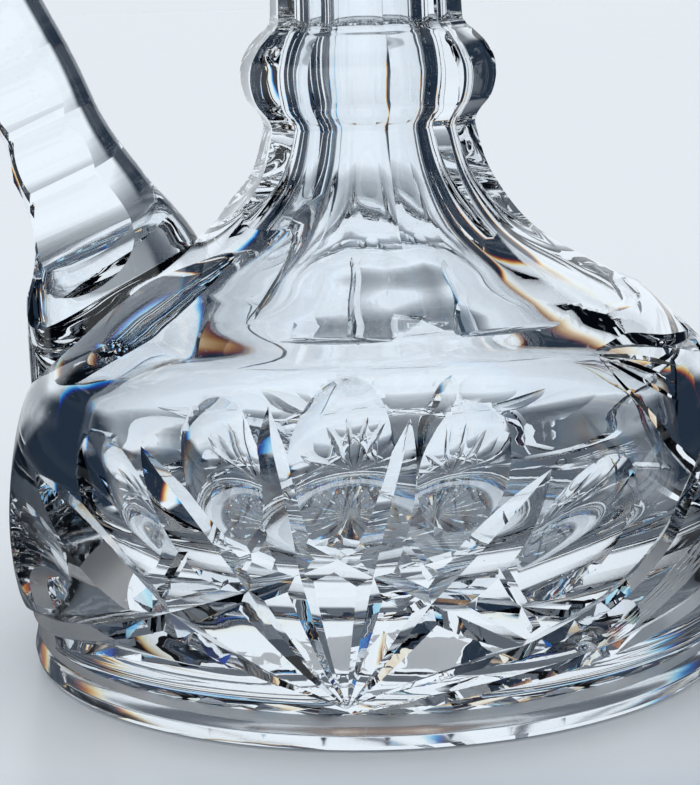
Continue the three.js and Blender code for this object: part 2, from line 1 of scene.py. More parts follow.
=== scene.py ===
"""Looks of the cut glass cruet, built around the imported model, which stands in as its fixed frame.

The world is in metres, +Z up. Sizes in the classes are millimetres, as in the part's source, and
become metres where a mesh is placed. An azimuth is in degrees from -Y, the front, towards +X, the
pouring lip; the handle stands towards -X.
"""
import logging
import math
from collections.abc import Callable
from dataclasses import dataclass, field
from enum import Enum

import bpy
import numpy as np
from mathutils import Matrix, Vector


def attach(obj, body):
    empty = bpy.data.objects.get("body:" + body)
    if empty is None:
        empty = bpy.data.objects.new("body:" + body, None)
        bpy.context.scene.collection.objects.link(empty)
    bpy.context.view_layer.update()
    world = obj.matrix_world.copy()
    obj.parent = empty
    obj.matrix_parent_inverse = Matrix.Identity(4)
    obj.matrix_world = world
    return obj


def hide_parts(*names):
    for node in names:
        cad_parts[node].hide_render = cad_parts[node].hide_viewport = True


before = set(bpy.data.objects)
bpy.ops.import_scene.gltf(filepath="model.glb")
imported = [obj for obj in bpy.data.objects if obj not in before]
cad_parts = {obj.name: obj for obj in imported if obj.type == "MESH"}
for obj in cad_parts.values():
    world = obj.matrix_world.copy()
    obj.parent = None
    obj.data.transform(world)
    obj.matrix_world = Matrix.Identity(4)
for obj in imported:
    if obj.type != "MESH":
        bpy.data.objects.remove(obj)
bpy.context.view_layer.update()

MM = 0.001
SAME_PLACE = 1e-7
ON_AXIS = 1e-6
CUT_DEPTH = "cut_depth"
LOG = logging.getLogger("cruet")

Place = tuple[float, float]


class Join(Enum):
    """How one solid meets another."""

    ADD = "UNION"
    CUT = "DIFFERENCE"
    KEEP = "INTERSECT"


# Bench: the modelling steps that every piece uses


def clear_bench() -> None:
    """Leaves object mode on, with nothing selected."""
    if bpy.context.mode != "OBJECT":
        bpy.ops.object.mode_set(mode="OBJECT")
    bpy.ops.object.select_all(action="DESELECT")


def pick(piece: bpy.types.Object) -> None:
    """Makes a piece the only one selected, and the active one.

    Args:
        piece: the piece to work on next.
    """
    clear_bench()
    piece.select_set(True)
    bpy.context.view_layer.objects.active = piece


def corners(piece: bpy.types.Object) -> np.ndarray:
    """Reads a piece's vertices.

    Args:
        piece: the piece to read.

    Returns:
        One row of x, y and z for each vertex, in metres.
    """
    flat = np.zeros(len(piece.data.vertices) * 3)
    piece.data.vertices.foreach_get("co", flat)
    return flat.reshape(-1, 3)


def place_corners(piece: bpy.types.Object, rows: np.ndarray) -> None:
    """Moves a piece's vertices to new rows of x, y and z."""
    piece.data.vertices.foreach_set("co", np.asarray(rows, float).ravel())
    piece.data.update()


def face_outwards(piece: bpy.types.Object) -> None:
    """Merges doubles, then turns every face of a closed piece outwards.

    Args:
        piece: the closed piece.
    """
    pick(piece)
    bpy.ops.object.mode_set(mode="EDIT")
    bpy.ops.mesh.select_all(action="SELECT")
    bpy.ops.mesh.remove_doubles(threshold=SAME_PLACE)
    bpy.ops.mesh.normals_make_consistent(inside=False)
    bpy.ops.object.mode_set(mode="OBJECT")


def finish_surface(piece: bpy.types.Object, angle: float) -> None:
    """Shades a piece smooth but for its sharp edges, with larger faces leading the normals.

    Args:
        piece: the piece.
        angle: the least angle of a sharp edge, in degrees.
    """
    pick(piece)
    bpy.ops.object.shade_smooth_by_angle(angle=math.radians(angle))
    step = piece.modifiers.new("weigh", "WEIGHTED_NORMAL")
    step.keep_sharp = True
    step.weight = 100
    bpy.ops.object.modifier_apply(modifier=step.name)


def combine(piece: bpy.types.Object, tool: bpy.types.Object, how: Join) -> bpy.types.Object:
    """Joins, cuts or trims a closed piece with a closed tool, and uses the tool up.

    Args:
        piece: the solid that stays.
        tool: the solid that is used up.
        how: what the tool does to the piece.

    Returns:
        The piece.
    """
    pick(piece)
    step = piece.modifiers.new("combine", "BOOLEAN")
    step.operation = how.value
    step.solver = "MANIFOLD"
    step.object = tool
    bpy.ops.object.modifier_apply(modifier=step.name)
    bpy.data.objects.remove(tool)
    return piece


def together(tools: list[bpy.types.Object]) -> bpy.types.Object:
    """Joins closed solids two by two until one is left.

    Args:
        tools: the solids, which are used up.

    Returns:
        The one solid.
    """
    while len(tools) > 1:
        pairs = [tools[i:i + 2] for i in range(0, len(tools), 2)]
        tools = [combine(*pair, Join.ADD) if len(pair) == 2 else pair[0] for pair in pairs]
    return tools[0]


def spin_solid(name: str, outline: list[Place], steps: int) -> bpy.types.Object:
    """Spins an outline about Z into a closed solid.

    Args:
        name: the piece's name.
        outline: radius and height of each point, from the axis below to the axis above.
        steps: how many sides the solid has.

    Returns:
        The solid, with its faces outwards.
    """
    clear_bench()
    bpy.ops.mesh.primitive_plane_add(size=MM)
    piece = bpy.context.object
    piece.name = name
    bpy.ops.object.mode_set(mode="EDIT")
    bpy.ops.mesh.select_all(action="SELECT")
    bpy.ops.mesh.merge(type="CENTER")
    bpy.ops.transform.translate(value=(outline[0][0] * MM, 0, outline[0][1] * MM))
    for (low_r, low_z), (high_r, high_z) in zip(outline, outline[1:]):
        move = ((high_r - low_r) * MM, 0, (high_z - low_z) * MM)
        bpy.ops.mesh.extrude_region_move(TRANSFORM_OT_translate={"value": move})
    bpy.ops.mesh.select_all(action="SELECT")
    bpy.ops.mesh.spin(steps=steps, angle=2 * math.pi, center=(0, 0, 0), axis=(0, 0, 1))
    bpy.ops.mesh.select_all(action="SELECT")
    bpy.ops.mesh.remove_doubles(threshold=ON_AXIS)
    bpy.ops.mesh.normals_make_consistent(inside=False)
    bpy.ops.object.mode_set(mode="OBJECT")
    return piece


class Bars:
    """Straight many-sided bars, modelled once for each number of sides and rings, then copied."""

    def __init__(self) -> None:
        """Starts with no bar made."""
        self.made: dict[tuple[int, int], tuple[bpy.types.Mesh, np.ndarray, np.ndarray]] = {}

    def bar(self, sides: int, rings: int) -> tuple[bpy.types.Mesh, np.ndarray, np.ndarray]:
        """Models a bar, or finds the one already made.

        Args:
            sides: how many sides it has.
            rings: how many rings of vertices it has along its length.

        Returns:
            Its mesh, and the ring and the side that each of its vertices is on.
        """
        if (sides, rings) not in self.made:
            clear_bench()
            bpy.ops.mesh.primitive_circle_add(vertices=sides, radius=MM, fill_type="NGON")
            blank = bpy.context.object
            bpy.ops.object.mode_set(mode="EDIT")
            bpy.ops.mesh.select_all(action="SELECT")
            for _ in range(rings - 1):
                bpy.ops.mesh.extrude_region_move(TRANSFORM_OT_translate={"value": (0, 0, MM)})
            bpy.ops.object.mode_set(mode="OBJECT")
            spots = corners(blank) / MM
            ring = np.rint(spots[:, 2]).astype(int)
            turn = np.arctan2(spots[:, 1], spots[:, 0]) / (2 * math.pi)
            side = np.rint((turn - turn[0]) * sides).astype(int) % sides
            self.made[sides, rings] = (blank.data, ring, side)
            bpy.data.objects.remove(blank)
        return self.made[sides, rings]

    def loft(self, name: str, rings: np.ndarray) -> bpy.types.Object:
        """Skins a closed solid over rings of points.

        Args:
            name: the piece's name.
            rings: millimetres, as [ring, side, xyz].

        Returns:
            The solid, with its faces outwards.
        """
        mesh, ring, side = self.bar(rings.shape[1], rings.shape[0])
        piece = bpy.data.objects.new(name, mesh.copy())
        bpy.context.scene.collection.objects.link(piece)
        place_corners(piece, rings[ring, side] * MM)
        face_outwards(piece)
        return piece


BARS = Bars()


def curve_through(stations: np.ndarray, count: int) -> np.ndarray:
    """Runs a smooth curve through stations.

    Args:
        stations: one row for each station, of any width.
        count: how many points the curve gets between two stations.

    Returns:
        The curve's points, the stations among them.
    """
    points = np.asarray(stations, float)
    padded = np.vstack([points[:1], points, points[-1:]])
    shares = np.linspace(0, 1, count, endpoint=False)[:, None]
    parts = []
    for before, start, end, after in zip(padded, padded[1:], padded[2:], padded[3:]):
        leave, arrive = (end - before) / 2, (after - start) / 2
        parts.append(
            (2 * start - 2 * end + leave + arrive) * shares ** 3
            + (3 * end - 3 * start - 2 * leave - arrive) * shares ** 2
            + leave * shares + start)
    return np.vstack(parts + [points[-1:]])


def smooth_step(low: float, high: float, value: np.ndarray) -> np.ndarray:
    """Rises smoothly from 0 at low to 1 at high."""
    share = np.clip((value - low) / (high - low), 0, 1)
    return share * share * (3 - 2 * share)


@dataclass
class Blank:
    """The vessel before its cuts: sizes as in the part's source, radii at the middle of flats."""

    foot_flat_radius: float = 44.4
    foot_points: tuple[Place, ...] = ((44.4, 0.0), (45.15, 0.25), (45.7, 0.9), (45.9, 2.0))
    belly: tuple[Place, ...] = (
        (45.9, 2.0), (45.5, 5.8), (47.7, 10.2), (48.35, 18.4), (47.2, 28.0), (45.1, 34.8),
        (41.5, 39.3), (37.5, 43.2), (34.9, 45.6), (32.6, 47.3))
    panels: tuple[Place, ...] = (
        (34.1, 45.8), (25.9, 50.2), (19.3, 54.8), (14.8, 61.3), (13.1, 66.8), (13.1, 68.3),
        (13.7, 69.4), (14.8, 70.8), (15.4, 72.4), (15.6, 74.2), (15.3, 76.0), (14.3, 77.8),
        (12.9, 79.3), (12.0, 80.2), (11.6, 82.2), (11.4, 94.6), (11.4, 103.1))
    panel_count: int = 10
    panel_azimuth: float = -26.0
    panel_hollow: float = 0.12
    panel_run_in: float = 16.0
    panel_run_out: float = 2.5
    short_panels: tuple[int, ...] = (7, 8, 9)
    short_panel_end: tuple[float, float] = (50.0, 62.0)
    short_panel_clear: float = 0.2
    ridge_margin: float = 0.7
    shoulder_gap: float = 1.4
    slope_reach: float = 0.4
    lip_radius: float = 14.2
    lip_rise: float = 7.0
    lip_overlap: float = 1.0
    lip_curl: float = 2.6
    rim_rounding: float = 1.1
    spout_reach: float = 5.5
    spout_lift: float = 1.6
    spout_sharpness: int = 4
    mouth_flare: float = 2.6
    mouth_depth: float = 4.5
    cavity: tuple[Place, ...] = (
        (0.0, 11.5), (14.0, 11.6), (25.0, 12.3), (32.5, 13.9), (37.0, 17.2), (39.2, 21.5),
        (39.2, 26.5), (37.8, 31.5), (34.8, 35.3), (30.0, 39.0), (24.0, 42.3), (18.0, 46.0),
        (13.2, 50.5), (9.4, 56.0), (7.2, 62.0), (6.2, 66.8), (6.3, 69.5), (7.6, 74.2),
        (6.4, 79.0), (6.2, 82.0))
    bore_radius: float = 6.2
    socket_length: float = 17.0
    socket_top_radius: float = 7.4
    socket_bottom_radius: float = 6.6
    socket_lead: float = 1.0
    round_steps: int = 256
    inside_steps: int = 160
    panel_columns: int = 6
    curve_steps: int = 8

    def __post_init__(self) -> None:
        """Works out the curves and the heights that other sizes follow."""
        self.belly_curve = curve_through(np.array(self.belly), self.curve_steps)
        self.panel_curve = curve_through(np.array(self.panels), self.curve_steps)
        self.panel_end = self.panels[-1][1]
        self.rim = self.panel_end + self.lip_rise
        self.neck_radius = self.panels[-1][0]
        self.ridge_ratio = 1 / math.cos(math.pi / self.panel_count)

    def surface(self, azimuth: float, height: float, depth: float = 0.0) -> tuple[Vector, Vector]:
        """Finds a point under the uncut belly, and the surface's normal there.

        Args:
            azimuth: degrees from the front.
            height: millimetres above the table.
            depth: how far under the surface.

        Returns:
            The point in millimetres, and the normal.
        """
        reach = self.slope_reach
        radii, levels = self.belly_curve[:, 0], self.belly_curve[:, 1]
        low, radius, high = np.interp([height - reach, height, height + reach], levels, radii)
        angle = math.radians(azimuth)
        outwards = Vector((math.sin(angle), -math.cos(angle), 0))
        normal = (outwards - Vector((0, 0, (high - low) / (2 * reach)))).normalized()
        return outwards * radius + Vector((0, 0, height)) - normal * depth, normal

    def round_outline(self) -> list[Place]:
        """Draws the outline of the round blank, a little outside the ridges of the panels.

        Returns:
            Radius and height of each point, from the foot up.
        """
        foot = [(0.0, 0.0), *self.foot_points[:-1]]
        belly = [tuple(row) for row in self.belly_curve]
        above = self.panel_curve[
            (self.panel_curve[:, 1] > self.belly[-1][1] + self.shoulder_gap)
            & (self.panel_curve[:, 1] < self.panel_end - self.lip_overlap)]
        neck = [(radius * self.ridge_ratio + self.ridge_margin, height) for radius, height in above]
        lip = curve_through(np.array([
            (self.neck_radius + self.ridge_margin, self.panel_end),
            (self.lip_radius - self.rim_rounding, self.rim - self.lip_curl * self.rim_rounding),
            (self.lip_radius, self.rim - self.rim_rounding),
            (self.lip_radius - self.rim_rounding / 2, self.rim),
        ]), self.curve_steps)
        return foot + belly + neck + [tuple(row) for row in lip] + [(0.0, self.rim)]

    def panel_solid(self) -> bpy.types.Object:
        """Builds the ten-sided solid whose slightly hollow sides are the panels.

        The panels beside the handle stop above its root, where no wheel can reach.

        Returns:
            The solid that the blank is trimmed with.
        """
        wide = 2 * self.lip_radius
        clear = 2 * self.belly[3][0]
        rows = [(clear, -self.foot_points[-1][1]), (clear, self.panels[0][1] - self.panel_run_in)]
        rows += [tuple(row) for row in self.panel_curve]
        rows += [(wide, self.panel_end + self.panel_run_out), (wide, self.rim + self.lip_rise)]
        half = math.pi / self.panel_count
        rings = []
        for radius, height in rows:
            ring = []
            for panel in range(self.panel_count):
                middle = math.radians(self.panel_azimuth) + half * (2 * panel + 1)
                reach = radius
                if panel in self.short_panels:
                    kept = 1 - float(smooth_step(*self.short_panel_end, height))
                    reach *= 1 + self.short_panel_clear * kept
                for column in range(self.panel_columns):
                    share = 2 * column / self.panel_columns - 1
                    hollow = self.panel_hollow * (1 - share * share) * min(1, reach / wide)
                    along = reach * math.tan(half) * share
                    ring.append((
                        (reach - hollow) * math.sin(middle) + along * math.cos(middle),
                        -(reach - hollow) * math.cos(middle) + along * math.sin(middle), height))
            rings.append(ring)
        return BARS.loft("panel_grinder", np.array(rings))

    def inside_outline(self) -> list[Place]:
        """Draws the outline of the hollow: a rounded cavity, a bore and a ground socket.

        Returns:
            Radius and height of each point, from the base up.
        """
        cavity = curve_through(np.array(self.cavity), self.curve_steps)
        socket_top = self.rim - self.mouth_depth
        socket_bottom = socket_top - self.socket_length
        return [
            *[tuple(row) for row in cavity], (self.bore_radius, socket_bottom),
            (self.socket_bottom_radius, socket_bottom + self.socket_lead),
            (self.socket_top_radius, socket_top),
            (self.socket_top_radius + self.mouth_flare, self.rim),
            (self.socket_top_radius + 2 * self.mouth_flare, socket_top + 2 * self.mouth_depth),
            (0.0, socket_top + 2 * self.mouth_depth)]

    def outside(self) -> bpy.types.Object:
        """Builds the solid blank with its panels ground, before it is hollowed."""
        body = spin_solid("cruet_glass", self.round_outline(), self.round_steps)
        return combine(body, self.panel_solid(), Join.KEEP)

    def inside(self) -> bpy.types.Object:
        """Builds the hollow as a solid to take away."""
        return spin_solid("hollow", self.inside_outline(), self.inside_steps)

    def draw_spout(self, piece: bpy.types.Object) -> None:
        """Draws the rim out towards +X, inside and outside together.

        Args:
            piece: the hollowed vessel.
        """
        rows = corners(piece) / MM
        rise = smooth_step(self.rim - self.mouth_depth, self.rim, rows[:, 2])
        away = np.maximum(np.hypot(rows[:, 0], rows[:, 1]), 1e-6)
        facing = np.maximum(0, rows[:, 0] / away) ** self.spout_sharpness
        rows[:, 0] += self.spout_reach * rise * facing
        rows[:, 2] += self.spout_lift * rise * facing
        place_corners(piece, rows * MM)


@dataclass
class WheelCuts:
    """The cut pattern, each place as azimuth and height; the back repeats the front mirrored."""

    blank: Blank
    half_angle: float = 54.0
    clearance: float = 5.0
    run_out: float = 0.04
    ray_taper: float = 1.0
    long_taper: float = 0.3
    leaf_steps: int = 24
    long_steps: int = 64
    waist_depth: float = 1.3
    roof_depth: float = 1.25
    sweep_depth: float = 0.85
    cross_depth: float = 0.55
    fine_depth: float = 0.32
    mirror_azimuth: float = 84.0
    fan_point: Place = (-5.6, 5.2)
    fan_arms: tuple[tuple[Place, Place, Place, float], ...] = (
        ((-63.0, 28.4), (-49.0, 23.9), (-31.5, 15.7), 2.6),
        ((-37.3, 34.6), (-28.7, 27.6), (-18.9, 19.4), 2.15),
        ((-17.4, 39.6), (-13.8, 30.0), (-11.4, 21.7), 1.9),
        ((5.0, 38.3), (1.9, 30.4), (-1.2, 21.5), 1.8),
        ((24.9, 31.9), (15.9, 24.7), (6.6, 17.9), 2.1))
    roofs: tuple[tuple[Place, ...], ...] = (
        ((-10.2, 25.4), (-4.4, 22.8), (6.7, 17.9), (19.6, 11.9)),
        ((-2.2, 24.8), (-11.3, 21.7), (-18.9, 19.4), (-31.3, 15.8), (-41.4, 13.1), (-51.7, 11.1),
         (-61.9, 9.5), (-80.0, 7.6)))
    sweeps: tuple[tuple[Place, ...], ...] = (
        ((-5.6, 5.4), (2.9, 8.4), (10.7, 10.3), (19.5, 11.9), (26.8, 14.0), (35.1, 17.0),
         (44.5, 21.9), (54.0, 28.0), (84.0, 42.0)),
        ((-5.6, 4.6), (9.5, 6.6), (28.2, 8.9), (40.2, 10.8), (54.3, 13.2), (84.0, 20.0)),
        ((42.3, 42.6), (43.2, 39.7), (44.8, 36.6), (47.1, 33.1), (51.1, 29.1), (84.0, 6.0)),
        ((42.3, 42.6), (54.1, 42.7), (67.5, 41.1), (84.0, 40.0)))
    edge_sweeps: tuple[tuple[Place, ...], ...] = (
        ((-92.0, 6.2), (-62.0, 7.2), (-42.0, 9.8), (-24.0, 9.9)),)
    fine_lines: tuple[tuple[Place, ...], ...] = (
        ((31.5, 11.9), (36.5, 13.8), (42.9, 16.5), (52.4, 20.6)),
        ((31.9, 11.6), (37.1, 13.4), (43.6, 16.0), (52.8, 19.8)),
        ((32.2, 11.2), (37.7, 13.1), (44.3, 15.6), (53.2, 19.0)),
        ((32.5, 10.8), (38.3, 12.8), (45.0, 15.3), (53.6, 18.2)),
        ((32.8, 10.5), (38.8, 12.5), (45.6, 15.0), (54.0, 17.5)))
    corner_lines: tuple[tuple[Place, ...], ...] = (
        ((43.0, 42.1), (52.5, 40.9), (61.9, 38.8)), ((43.6, 42.0), (50.7, 40.0), (57.6, 37.1)),
        ((44.0, 41.3), (49.8, 38.2), (54.2, 35.6)))
    punty: Place = (29.2, 10.9)
    punty_radius: float = 1.5
    punty_rise: float = 0.3
    punty_sides: int = 32
    punty_rings: int = 24
    crosses: tuple[tuple[Place, Place], ...] = (
        ((-10.7, 28.8), (-3.3, 25.0)), ((-2.0, 27.8), (-9.0, 25.2)), ((-22.7, 25.3), (-14.6, 23.0)),
        ((-16.1, 26.6), (-19.7, 21.8)), ((-27.4, 24.0), (-32.4, 17.4)),
        ((-39.3, 19.8), (-21.9, 20.0)), ((3.2, 25.6), (6.8, 21.3)), ((2.4, 22.1), (9.5, 23.4)),
        ((15.8, 22.0), (20.8, 14.0)), ((12.5, 18.0), (26.1, 15.6)))
    olives: tuple[tuple[Place, Place, float], ...] = (
        ((-78.9, 18.6), (-50.3, 17.4), 13.1), ((-49.3, 34.8), (-32.5, 21.4), 10.1),
        ((-27.7, 40.2), (-17.7, 26.0), 10.1), ((-4.4, 42.5), (-7.1, 24.8), 12.3),
        ((16.3, 39.3), (8.0, 26.5), 10.5), ((38.3, 31.5), (19.0, 18.3), 9.8))
    olive_section: float = 11.5
    olive_sides: int = 96
    olive_steps: int = 40
    cross_steps: int = 9
    path_steps: int = 16

    def rings(self, path: np.ndarray, depths: np.ndarray) -> list[tuple[Vector, Vector, Vector]]:
        """Follows the surface along a path.

        Args:
            path: azimuth and height of each step.
            depths: how far under the surface each step lies.

        Returns:
            For each step its point, the surface's normal and the direction across the path.
        """
        uncut = [self.blank.surface(*spot)[0] for spot in path]
        found = []
        for index, (spot, depth) in enumerate(zip(path, depths)):
            point, normal = self.blank.surface(*spot, depth)
            ahead = uncut[min(index + 1, len(uncut) - 1)] - uncut[max(index - 1, 0)]
            found.append((point, normal, ahead.cross(normal).normalized()))
        return found

    def mitre(self, path: np.ndarray, depths: np.ndarray) -> bpy.types.Object:
        """Builds the solid that a V-edged wheel takes away along a path.

        Args:
            path: azimuth and height of each step.
            depths: how far under the surface the wheel's edge runs at each step.

        Returns:
            The cut as a solid.
        """
        flare = math.tan(math.radians(self.half_angle)) * self.clearance
        rings = []
        for point, normal, across in self.rings(path, depths):
            back = point + normal * self.clearance
            rings.append((point, back + across * flare, back - across * flare))
        return BARS.loft("mitre", np.array(rings))

    def leaf(self, stations: tuple[Place, ...], depth: float, end_depth: float) -> bpy.types.Object:
        """Builds a leaf-shaped cut.

        Args:
            stations: the places that its V line runs through, from its point on.
            depth: how much deeper than its ends it is half way.
            end_depth: how deep it is at its last place; at its first it comes to a point.

        Returns:
            The cut as a solid.
        """
        share = np.linspace(-self.run_out, 1, self.leaf_steps + 1)
        if end_depth == 0:
            share = np.linspace(-self.run_out, 1 + self.run_out, self.leaf_steps + 1)
        path = self.path(stations, share)
        return self.mitre(path, 4 * depth * share * (1 - share) + end_depth * share)

    def path(self, stations: tuple[Place, ...], share: np.ndarray) -> np.ndarray:
        """Reads places off a smooth curve through stations, run on straight past its ends.

        Args:
            stations: azimuth and height of the places that it runs through.
            share: how far along the curve each place lies, from 0 to 1.

        Returns:
            Azimuth and height of each place.
        """
        fine = curve_through(np.array(stations), self.path_steps)
        away = np.concatenate([[0], np.cumsum(np.linalg.norm(np.diff(fine, axis=0), axis=1))])
        away /= away[-1]
        spots = np.stack([np.interp(share, away, row) for row in fine.T], 1)
        first = (fine[1] - fine[0]) / (away[1] - away[0])
        last = (fine[-1] - fine[-2]) / (away[-1] - away[-2])
        return (
            spots + np.outer(np.minimum(share, 0), first)
            + np.outer(np.maximum(share - 1, 0), last))

    def sweep(self, stations: tuple[Place, ...], depth: float, ends: tuple[float, float],
              taper: float) -> bpy.types.Object:
        """Builds a long cut.

        Args:
            stations: the places that its V line runs through.
            depth: how deep it is on its way.
            ends: how much of that depth it has at its first and its last place.
            taper: the share of its length over which each end deepens.

        Returns:
            The cut as a solid.
        """
        first, last = ends
        low = 0 if first else -self.run_out
        high = 1 if last else 1 + self.run_out
        share = np.linspace(low, high, self.long_steps + 1)
        rise = first + (1 - first) * np.minimum(1, share / taper)
        fall = last + (1 - last) * np.minimum(1, (1 - share) / taper)
        return self.mitre(self.path(stations, share), depth * np.minimum(rise, fall))

    def olive(self, top: Place, foot: Place, width: float) -> bpy.types.Object:
        """Builds a round-edged wheel's oval cut, rolled over the surface between two places.

        Args:
            top: the oval's upper end.
            foot: its lower end.
            width: how wide it is half way.

        Returns:
            The cut as a solid.
        """
        radius = self.olive_section
        deepest = width ** 2 / 8 * (1 / radius + 1 / self.blank.belly[3][0])
        share = np.linspace(-self.run_out, 1 + self.run_out, self.olive_steps + 1)
        depths = 4 * deepest * share * (1 - share)
        turn = np.linspace(0, 2 * math.pi, self.olive_sides, endpoint=False)
        rings = []
        for point, normal, across in self.rings(self.path((top, foot), share), depths):
            rings.append(
                np.array(point + normal * radius) + np.outer(np.cos(turn), -normal * radius)
                + np.outer(np.sin(turn), across * radius))
        return BARS.loft("olive", np.array(rings))

    def punty_cut(self, spot: Place) -> bpy.types.Object:
        """Builds the small round hollow at the start of the fine lines.

        Args:
            spot: azimuth and height of its middle.

        Returns:
            The cut as a solid.
        """
        point, normal = self.blank.surface(*spot)
        clear_bench()
        bpy.ops.mesh.primitive_uv_sphere_add(
            segments=self.punty_sides, ring_count=self.punty_rings, radius=self.punty_radius * MM)
        piece = bpy.context.object
        middle = point + normal * self.punty_radius * self.punty_rise
        piece.data.transform(Matrix.Translation(middle * MM))
        face_outwards(piece)
        return piece

    def half(self, flip: Callable[[Place], Place]) -> list[bpy.types.Object]:
        """Builds the cuts of one side.

        Args:
            flip: what a place of the front becomes: itself, or its mirror image at the back.

        Returns:
            The cuts as solids.
        """
        tools = []
        for tip, middle, waist, depth in self.fan_arms:
            blade = (flip(tip), flip(middle), flip(waist))
            tools.append(self.leaf(blade, depth - self.waist_depth / 2, self.waist_depth))
            halfway = tuple((a + b) / 2 for a, b in zip(waist, self.fan_point))
            ray = (flip(waist), flip(halfway), flip(self.fan_point))
            tools.append(self.sweep(ray, self.waist_depth, (1.0, 0.0), self.ray_taper))
        for paths, depth, ends in (
                (self.roofs, self.roof_depth, (0.5, 0.5)),
                (self.sweeps, self.sweep_depth, (0.0, 0.6)),
                (self.edge_sweeps, self.sweep_depth, (0.6, 0.0)),
                (self.fine_lines, self.fine_depth, (0.0, 0.0)),
                (self.corner_lines, self.fine_depth, (0.5, 0.0))):
            for path in paths:
                cut = tuple(flip(spot) for spot in path)
                tools.append(self.sweep(cut, depth, ends, self.long_taper))
        for start, end in self.crosses:
            path = self.path((flip(start), flip(end)), np.linspace(0, 1, self.cross_steps))
            tools.append(self.mitre(path, np.full(self.cross_steps, self.cross_depth)))
        for top, foot, width in self.olives:
            tools.append(self.olive(flip(top), flip(foot), width))
        return tools + [self.punty_cut(flip(self.punty))]

    def all_cuts(self) -> bpy.types.Object:
        """Builds every cut of the belly, in front and behind.

        Returns:
            The cuts as one solid.
        """
        mirror = 2 * self.mirror_azimuth
        return together(
            self.half(lambda spot: spot) + self.half(lambda spot: (mirror - spot[0], spot[1])))


@dataclass
class StarBase:
    """Star of mitres in the underside, with a small flat left at its centre.

    The mitres deepen outwards so that they always meet, and run out at the star's edge.
    """

    rays: int = 24
    radius: float = 27.0
    centre_radius: float = 2.4
    run_out: float = 2.6
    overshoot: float = 0.1
    half_angle: float = 54.0
    clearance: float = 5.0

    def cuts(self) -> bpy.types.Object:
        """Builds the rays.

        Returns:
            The rays as one solid.
        """
        flare = math.tan(math.radians(self.half_angle)) * self.clearance
        deepening = math.tan(math.pi / self.rays) * self.clearance / flare
        turn = self.radius - self.run_out
        radii = np.array([self.centre_radius, turn, self.radius, self.radius + self.overshoot])
        edge = np.array([0.0, deepening * (turn - self.centre_radius), 0.0, -self.overshoot])
        tools = []
        for ray in range(self.rays):
            angle = 2 * math.pi * ray / self.rays
            out = np.array((math.sin(angle), -math.cos(angle), 0))
            side = np.array((math.cos(angle), math.sin(angle), 0)) * flare
            point = np.outer(radii, out) + np.outer(edge, (0, 0, 1))
            back = point - np.array((0, 0, self.clearance))
            tools.append(BARS.loft("ray", np.stack([point, back + side, back - side], 1)))
        return together(tools)


